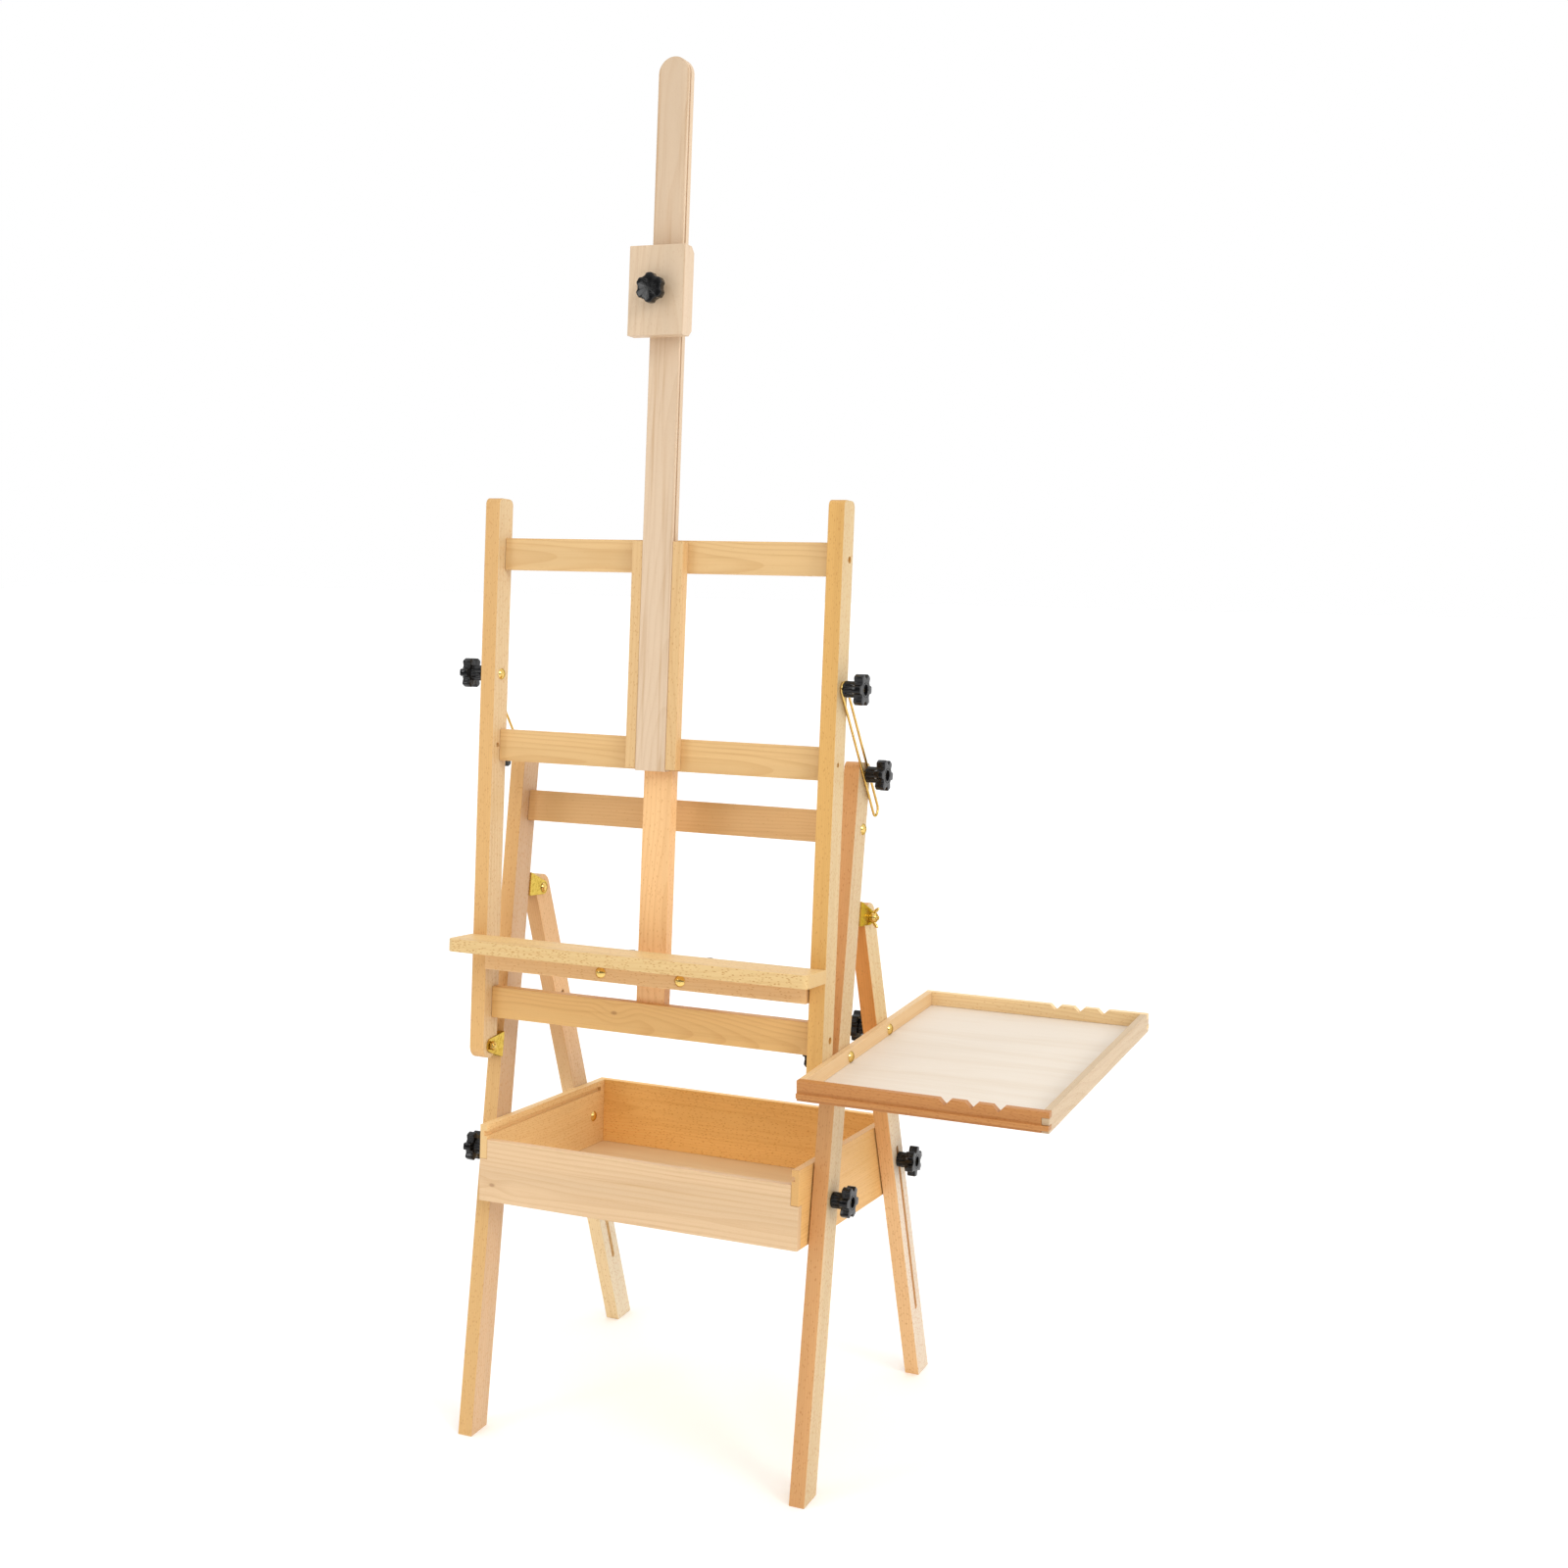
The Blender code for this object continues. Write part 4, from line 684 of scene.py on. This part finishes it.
for name, level in RAILS.items():
    low = (-INNER + GAP, RAIL_FRONT, level - rail_half)
    high = (INNER - GAP, RAIL_FRONT + RAIL_DEPTH, level + rail_half)
    cutter = block((BAR_NOTCH[0], RAIL_FRONT + 0.0077, level - 0.05), (BAR_NOTCH[1], 0.05, level + 0.05))
    if name == "upper_rail":
        hole(cutter, (0, level), BORE, -0.01, 0.03, "Y")
    knot = (RAIL_FRONT, level + 0.004, -0.045) if name == "lower_rail" else None
    seed = {"lower_rail": 2.4, "middle_rail": 4.0, "upper_rail": 6.2}[name]
    stuff = wood(name, "X", seed, (-0.055, level - 0.012), rings=0.75, flecks=0.5, knot=knot)
    piece(name + "_beech", block(low, high), matrix("tilt"), "canvas_frame", stuff, (name,), bevel=0.0006,
        cutter=cutter)

bar_front = RAIL_FRONT + 0.008
bar_back = bar_front + BAR_DEPTH
bm = block((-BAR_HALF, bar_front, RAILS["lower_rail"] - rail_half),
    (BAR_HALF, bar_back, RAILS["upper_rail"] + rail_half))
cutter = hole(bmesh.new(), (0, RAILS["upper_rail"]), BORE, bar_front - 0.01, bar_front + 0.03, "Y")
stuff = wood("centre_bar", "Z", 7.7, (0.02, -0.06), rings=0.6)
piece("centre_bar_beech", bm, matrix("tilt"), "canvas_frame", stuff, ("centre_bar",), bevel=0.0006,
    cutter=cutter)
foot = bar_back + GAP
star_knob("mast_lock_knob", "tilt", (0, foot, RAILS["upper_rail"]), (0, 1, 0), "mast_lock_knob",
    stud=foot - GAP)

groove_at = MAST_FACE + 0.0035
near, tongue = MAST_HALF + GAP, MAST_HALF - GROOVE + GAP
for name, side in sides("mast_guide"):
    outline = [(near, MAST_FACE + 0.001), (near + 0.0137, MAST_FACE + 0.001), (near + 0.0137, 0), (near, 0)]
    outline += [(near, groove_at + GROOVE - GAP), (tongue, groove_at + GROOVE - GAP)]
    outline += [(tongue, groove_at + GAP), (near, groove_at + GAP)]
    outline = [(side * x, y) for x, y in outline]
    low, high = RAILS["middle_rail"] - rail_half + 0.002, RAILS["upper_rail"] + rail_half - 0.002
    stuff = wood(name, "Z", 8.1 + side, (0.01, 0.07))
    piece(name + "_beech", solid(outline, "Z", low, high), matrix("tilt"), "canvas_frame", stuff, (name,),
        bevel=0.0004)

# ---- wire stays ------------------------------------------------------------------------------
frame_bolt = along(*TILT, FRAME_LEAN, STAY_UP, 0)
leg_bolt = along(0, 0, FRONT_LEAN, LEG_BOLT_UP, middle)
lean = math.atan2(leg_bolt[0] - frame_bolt[0], frame_bolt[1] - leg_bolt[1]) + FRAME_LEAN
stay_turn = Matrix.Translation((0, 0, STAY_UP)) @ Matrix.Rotation(lean, 4, "X")
low = -(STAY_REACH - STAY_HALF)
outline = arc((0, 0), STAY_HALF, 0, 180, 24) + [(-STAY_HALF, low * i / 12) for i in range(1, 12)]
outline += arc((0, low), STAY_HALF, 180, 360, 24) + [(STAY_HALF, low * i / 12) for i in range(11, 0, -1)]
spin = [math.radians(22.5 * k) for k in range(16)]
sideways = Vector((1, 0, 0))
for name, side in sides("stay"):
    rings = []
    for i, (y, z) in enumerate(outline):
        before, after = outline[i - 1], outline[(i + 1) % len(outline)]
        way = Vector((0, after[0] - before[0], after[1] - before[1])).normalized()
        across = sideways.cross(way)
        centre = Vector((side * (HALF_SPAN + 1.5 * GAP + WIRE), y, z))
        rings.append([centre + WIRE * (math.cos(a) * sideways + math.sin(a) * across) for a in spin])
    bm = skin(bmesh.new(), rings, loop=True)
    piece(name + "_wire", bm, matrix("tilt") @ stay_turn, "stays", BRASS, (name,), smooth=True)

# ---- ledge -----------------------------------------------------------------------------------
back, face, corner = -STILE_HALF - GAP, -STILE_HALF - 0.057, 0.008
outline = [(LEDGE_HALF, back), (-LEDGE_HALF, back)]
outline += arc((-LEDGE_HALF + corner, face + corner), corner, 180, 270, 8)
outline += arc((LEDGE_HALF - corner, face + corner), corner, 270, 360, 8)
bm = solid(outline[::-1], "Z", LEDGE_TOP - LEDGE_THICK, LEDGE_TOP)
stuff = wood("ledge_board", "X", 1.2, (0.04, 0.165), rings=0.5, flecks=1.7)
piece("ledge_board_beech", bm, matrix("tilt"), "ledge", stuff, ("ledge_board",), bevel=0.0009)
plate_front = bar_back + GAP
plate_back = plate_front + 0.012
batten = (
    (-INNER + 0.0015, BATTEN_FRONT, BATTEN_BOTTOM),
    (INNER - 0.0015, bar_front - GAP, LEDGE_TOP - LEDGE_THICK - GAP),
)
plate = (
    (-0.08, plate_front, LEDGE_BOLT[1] - 0.015),
    (0.08, plate_back, LEDGE_BOLT[1] + 0.015),
)
for name, (low, high), seed in (("ledge_batten", batten, 2.9), ("ledge_clamp_plate", plate, 4.4)):
    cutter = bmesh.new()
    for side in (-1, 1):
        hole(cutter, (side * LEDGE_BOLT[0], LEDGE_BOLT[1]), BORE, low[1] - 0.01, high[1] + 0.01, "Y")
    stuff = wood(name, "X", seed, (0.05, 0.16), rings=0.5, flecks=1.2)
    piece(name + "_beech", block(low, high), matrix("tilt"), "ledge", stuff, (name,), bevel=0.0007,
        cutter=cutter)
for name, side in sides("ledge_bolt"):
    base = (side * LEDGE_BOLT[0], BATTEN_FRONT - GAP, LEDGE_BOLT[1])
    foot = plate_back + GAP
    carriage_bolt(name + "_turned", "tilt", base, (0, 1, 0), foot + STAND - base[1], "ledge", (name,))
    knob = "ledge_knob" + name[10:]
    star_knob(knob, "tilt", (base[0], foot, base[2]), (0, 1, 0), knob)

# ---- mast and canvas clamp -------------------------------------------------------------------
outline = [(MAST_HALF, MAST_BOTTOM)]
outline += arc((0, MAST_TOP - MAST_HALF), MAST_HALF, 0, 180, 36)
outline += [(-MAST_HALF, MAST_BOTTOM)]
cutter = bmesh.new()
for side in (-1, 1):
    span = sorted((side * (MAST_HALF - GROOVE), side * (MAST_HALF + 0.01)))
    prism(cutter, rectangle((span[0], groove_at), (span[1], groove_at + GROOVE)), "Z", 0.1, MAST_TOP + 0.1)
bm = solid(outline, "Y", MAST_FACE, MAST_FACE + MAST_DEPTH)
stuff = wood("mast", "Z", 9.4, (0.015, 0.11), rings=0.35, flecks=0.12, bands=2.2)
piece("mast_beech", bm, matrix("tilt"), "mast", stuff, ("mast",), bevel=0.0007, cutter=cutter)

near, slant = MAST_FACE - 2 * GAP - 0.0012, 0.007
face = near - BLOCK_DEPTH
outline = [(face, BLOCK_BOTTOM), (near - slant, BLOCK_BOTTOM), (near, BLOCK_BOTTOM + slant)]
outline += [(near, BLOCK_TOP - slant), (near - slant, BLOCK_TOP), (face, BLOCK_TOP)]
bm = solid(outline, "X", -BLOCK_HALF, BLOCK_HALF)
level = (BLOCK_BOTTOM + BLOCK_TOP) / 2
cutter = hole(bmesh.new(), (0, level), BORE, face - 0.01, near + 0.01, "Y")
stuff = wood("clamp_block", "Z", 11.0, (0.01, 0.06), rings=0.4, flecks=0.35, bands=1.8)
piece("clamp_block_beech", bm, matrix("tilt"), "canvas_clamp", stuff, ("clamp_block",), bevel=0.0005,
    cutter=cutter)
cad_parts["clamp_channel"].data.materials.clear()
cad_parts["clamp_channel"].data.materials.append(ZINC)
star_knob("clamp_knob", "tilt", (0, face - GAP, level), (0, -1, 0), "clamp_knob", stud=MAST_FACE - face,
    closed=True)

# ---- rear legs -------------------------------------------------------------------------------
drop = math.hypot(REAR_FOOT_Y - REAR[0], REAR[1])
slope = REAR_HALF * math.tan(-REAR_LEAN)
rear_tray = local(REAR, REAR_LEAN, *TRAY_BOLTS[1])
box_bolt_up = local(REAR, REAR_LEAN, *BOX_REAR_PLACE)[1]
for name, side in sides("rear_leg"):
    tag, outward = name[8:], (side, 0, 0)
    outline = arc((0, 0), REAR_HALF, 0, 180, 24) + [(-REAR_HALF, -drop + slope), (REAR_HALF, -drop - slope)]
    bm = solid(outline, "X", side * INNER, side * HALF_SPAN)
    cutter = hole(bmesh.new(), (0, 0), BORE, *through(side))
    hole(cutter, rear_tray, BORE, *through(side))
    slit = stadium(LEG_SLOT[0] + BORE, LEG_SLOT[1] - BORE, BORE)
    prism(cutter, slit, "X", *through(side))
    stuff = wood(name, "Z", 12.6 if side > 0 else 14.1, (side * 0.29, 0.04), rings=0.45, flecks=1.3)
    piece(name + "_beech", bm, matrix("rear"), "rear_legs", stuff, (name,), bevel=0.0007, cutter=cutter)

    start = BOX_HALF + GAP
    reach = HALF_SPAN + GAP + STAND - start
    profile = ((0, 0), (SHANK_R, 0), (SHANK_R, reach - 0.001), (0.0026, reach), (0, reach))
    placed = matrix("rear") @ facing((side * start, 0, box_bolt_up), outward)
    piece("box_rear_shank" + tag, lathe(profile), placed, "box_rear_bolts", BRASS, ("box_rear_bolt" + tag,),
        smooth=True)
    knob = "box_rear_knob" + tag
    star_knob(knob, "rear", (side * (HALF_SPAN + GAP), 0, box_bolt_up), outward, knob)
star_knob("tray_rear_knob", "rear", (INNER - GAP, *rear_tray), (-1, 0, 0), "tray_rear_knob",
    stud=TRAY_AT[0] - INNER)

# ---- storage box -----------------------------------------------------------------------------
front, back = -BOX_FRONT, BOX_LENGTH - BOX_FRONT
bottom, top = -BOX_BELOW, BOX_HEIGHT - BOX_BELOW
finger, inside = top - 0.043, BOX_HALF - BOX_WALL
floor = (bottom + 0.006, bottom + 0.0106)
for name, side in (("box_left_wall", -1), ("box_right_wall", 1)):
    step = BOX_WALL + GAP
    outline = [(front, top), (front, finger), (front + step, finger), (front + step, bottom)]
    outline += [(back - step, bottom), (back - step, top)]
    bm = solid(outline, "X", side * inside, side * BOX_HALF)
    start = side * (inside - 0.002)
    cutter = bmesh.new()
    shallow = rectangle((front - 0.01, top - 0.014), (back - 0.02, top - 0.008))
    prism(cutter, shallow, "X", start, side * (inside + 0.0045))
    for_floor = rectangle((front + 0.006, floor[0]), (back - 0.006, floor[1]))
    prism(cutter, for_floor, "X", start, side * (inside + 0.004))
    hole(cutter, (0, 0), BORE, start, side * (BOX_HALF + 0.002))
    stuff = wood(name, "Y", 15.5 + side, (side * 0.27, -0.06), rings=0.5, flecks=1.0)
    piece(name + "_beech", bm, matrix("box"), "box", stuff, (name,), bevel=0.0005, cutter=cutter)
    base = (side * (inside - 0.0001), *BOX_REAR)
    carriage_bolt("box_rear_head" + name[3:-5], "box", base, (side, 0, 0), 0.006, "box")

wide, narrow = BOX_HALF, inside - GAP
edge, height = finger - GAP, top - 0.0185
outline = [(-wide, bottom), (wide, bottom), (wide, edge), (narrow, edge)]
outline += [(narrow, height), (-narrow, height), (-narrow, edge), (-wide, edge)]
near, far, slot_end = front + BOX_WALL - 0.004, back - BOX_WALL + 0.004, inside + 0.0037
stuff = wood("box_front_wall", "X", 18.2, (-0.064, -0.030), rings=0.6, flecks=0.15,
    knot=(front, -0.031, -0.200), pitch=170, bands=1.3)
cutter = block((-slot_end, near, floor[0]), (slot_end, near + 0.006, floor[1]))
piece("box_front_wall_beech", solid(outline, "Y", front, front + BOX_WALL), matrix("box"), "box", stuff,
    ("box_front_wall",), bevel=0.0005, cutter=cutter)
stuff = wood("box_back_wall", "X", 20.7, (0.30, 0.01), rings=0.5, flecks=1.1)
cutter = block((-slot_end, far - 0.006, floor[0]), (slot_end, far, floor[1]))
piece("box_back_wall_beech", block((-wide, back - BOX_WALL, bottom), (wide, back, top)), matrix("box"),
    "box", stuff, ("box_back_wall",), bevel=0.0005, cutter=cutter)
bm = block((-inside - 0.0034, near + GAP, floor[0] + GAP), (inside + 0.0034, far - GAP, floor[1] - GAP))
stuff = ply("box_floor", linear(230, 200, 154), 0.7)
piece("box_floor_ply", bm, matrix("box"), "box", stuff, ("box_floor",), bevel=0.0004)

# ---- tray ------------------------------------------------------------------------------------
half = TRAY_BODY / 2
inside = half - TRAY_WALL
floor = (0.0018, 0.0064)
for name, side in (("tray_front_rail", -1), ("tray_rear_rail", 1)):
    # a tongue runs along the outer face
    outline = [(half, 0), (half, 0.0035), (half + 0.003, 0.0035), (half + 0.003, 0.0092)]
    outline += [(half, 0.0092), (half, TRAY_HEIGHT), (inside, TRAY_HEIGHT), (inside, 0)]
    outline = [(side * y, z) for y, z in outline]
    start = side * (inside - 0.002)
    cutter = bmesh.new()
    for place in TRAY_NOTCHES:
        notch = [(place - 0.009, TRAY_HEIGHT + 0.002), (place, TRAY_HEIGHT - 0.007)]
        notch.append((place + 0.009, TRAY_HEIGHT + 0.002))
        prism(cutter, notch, "Y", start, side * (half + 0.005))
    for_floor = rectangle((TRAY_WALL - 0.004, floor[0]), (TRAY_WIDTH - TRAY_WALL + 0.004, floor[1]))
    prism(cutter, for_floor, "Y", side * (inside + 0.004), start)
    for low, high in TRAY_FINGERS:
        room = rectangle((TRAY_WIDTH - TRAY_WALL - GAP, low - (GAP if low else 0.01)),
            (TRAY_WIDTH + 0.01, high + GAP))
        prism(cutter, room, "Y", start, side * (half + 0.0005))
    bm = solid(outline, "X", 0, TRAY_WIDTH)
    stuff = wood(name, "X", 22.0 + side, (side * 0.30, -0.05), rings=0.7, flecks=0.9)
    piece(name + "_beech", bm, matrix("tray"), "tray", stuff, (name,), bevel=0.0004, cutter=cutter)
bolts = [(y - TRAY_AT[1], z - TRAY_AT[2]) for y, z in TRAY_BOLTS]
for name, x in (("tray_left_wall", 0), ("tray_right_wall", TRAY_WIDTH - TRAY_WALL)):
    reach = inside - GAP
    inner = (TRAY_WALL - 0.004, TRAY_WALL + 0.002) if x == 0 else (x - 0.002, x + 0.004)
    cutter = block((inner[0], -inside - 0.004, floor[0]), (inner[1], inside + 0.004, floor[1]))
    if x == 0:
        hole(cutter, bolts[0], BORE, -0.002, TRAY_WALL + 0.002)
    edge = [(reach, 0)]
    for low, high in TRAY_FINGERS if x else ():
        edge += [(reach, low), (half, low), (half, high), (reach, high)]
    edge = list(dict.fromkeys(edge)) + [(reach, TRAY_HEIGHT)]
    edge += [(-y, z) for y, z in reversed(edge)]
    bm = solid(edge, "X", x, x + TRAY_WALL)
    stuff = wood(name, "Y", 25.0 + 9 * x, (0.05, -0.05), rings=0.5, flecks=0.8)
    piece(name + "_beech", bm, matrix("tray"), "tray", stuff, (name,), bevel=0.0004, cutter=cutter)
bm = block((TRAY_WALL - 0.0037, -inside - 0.0037, floor[0] + GAP),
    (TRAY_WIDTH - TRAY_WALL + 0.0037, inside + 0.0037, floor[1] - GAP))
stuff = ply("tray_floor", linear(228, 217, 202), 2.2)
piece("tray_floor_ply", bm, matrix("tray"), "tray", stuff, ("tray_floor",), bevel=0.0004)
base = (TRAY_WALL + GAP, *bolts[0])
reach = base[0] + TRAY_AT[0] - INNER + GAP + STAND
carriage_bolt("tray_front_bolt_turned", "tray", base, (-1, 0, 0), reach, "tray", ("tray_front_bolt",))
carriage_bolt("tray_rear_bolt_head", "tray", (TRAY_WALL + 0.0001, *bolts[1]), (-1, 0, 0), 0.005, "tray")

# ---- floor, light and camera -----------------------------------------------------------------
bm = bmesh.new()
bmesh.ops.create_grid(bm, x_segments=1, y_segments=1, size=14)
mesh = bpy.data.meshes.new("floor")
bm.to_mesh(mesh)
bm.free()
ground = bpy.data.objects.new("floor", mesh)
bpy.context.scene.collection.objects.link(ground)
paper = Graph("floor_paper")
paper.shader.inputs["Base Color"].default_value = (0.985, 0.985, 0.985, 1)
paper.shader.inputs["Roughness"].default_value = 0.9
paper.shader.inputs["Emission Color"].default_value = (1, 1, 1, 1)
paper.shader.inputs["Emission Strength"].default_value = 0.08
mesh.materials.append(paper.material)

world = bpy.data.worlds.new("studio")
world.use_nodes = True
tree = world.node_tree
coords = tree.nodes.new("ShaderNodeTexCoord")
split = tree.nodes.new("ShaderNodeSeparateXYZ")
tree.links.new(coords.outputs["Generated"], split.inputs[0])


def ramp(socket, low, high, out_low, out_high):
    made = tree.nodes.new("ShaderNodeMapRange")
    made.interpolation_type = "SMOOTHSTEP"
    tree.links.new(socket, made.inputs["Value"])
    for key, value in (("From Min", low), ("From Max", high), ("To Min", out_low), ("To Max", out_high)):
        made.inputs[key].default_value = value
    return made.outputs[0]


def join(operation, first, second):
    made = tree.nodes.new("ShaderNodeMath")
    made.operation = operation
    tree.links.new(first, made.inputs[0])
    tree.links.new(second, made.inputs[1])
    return made.outputs[0]


# a white studio whose front wall is darker low down, so that metal and plastic have something to mirror
front_part = ramp(split.outputs[1], -0.45, 0.0, 1.0, 0.0)
low_part = ramp(split.outputs[2], 0.30, 0.60, 0.80, 0.0)
light_part = ramp(join("MULTIPLY", front_part, low_part), 0.0, 1.0, 1.0, 0.05)
# the backdrop itself stays white from every side
seen = tree.nodes.new("ShaderNodeLightPath").outputs["Is Camera Ray"]
backdrop = tree.nodes["Background"]
tree.links.new(join("MAXIMUM", light_part, seen), backdrop.inputs["Strength"])
backdrop.inputs["Color"].default_value = (1.0, 1.0, 1.0, 1)
bpy.context.scene.world = world


def aim(light, place, target):
    made = bpy.data.objects.new(light.name, light)
    bpy.context.scene.collection.objects.link(made)
    made.location = place
    made.rotation_euler = (Vector(target) - Vector(place)).to_track_quat("-Z", "Y").to_euler()


suns = (("key", (3.4, -1.5, 2.0), 0.92, 24), ("top", (0.2, 0.3, 3.0), 0.18, 60))
for name, place, strength, spread in suns:
    light = bpy.data.lights.new(name, "SUN")
    light.energy, light.angle = strength, math.radians(spread)
    aim(light, place, (0, 0, 0))
discs = (("fill", (-2.2, -2.8, 1.9), 1.2, 16), ("strip", (1.9, -2.6, 2.3), 0.7, 9))
for name, place, size, power in discs:
    light = bpy.data.lights.new(name, "AREA")
    light.shape, light.size, light.energy = "DISK", size, power
    aim(light, place, (0, 0, 0.8))

azimuth, pitch, roll = math.radians(23.886), math.radians(9.014), math.radians(-0.25)
flat = math.cos(pitch)
forward = Vector((-math.sin(azimuth) * flat, math.cos(azimuth) * flat, -math.sin(pitch)))
right = Vector((math.cos(azimuth), math.sin(azimuth), 0))
upward = right.cross(forward)
right, upward = (
    right * math.cos(roll) + upward * math.sin(roll),
    upward * math.cos(roll) - right * math.sin(roll),
)
lens = bpy.data.cameras.new("camera")
lens.lens, lens.sensor_width = 47.26, 36
camera = bpy.data.objects.new("camera", lens)
bpy.context.scene.collection.objects.link(camera)
turn = Matrix((right, upward, -forward)).transposed().to_4x4()
camera.matrix_world = Matrix.Translation((1.1394 + MIDDLE_X, -2.0800 + FRONT_Y, 1.2268)) @ turn
bpy.context.scene.camera = camera
bpy.context.scene.view_settings.view_transform = "Standard"
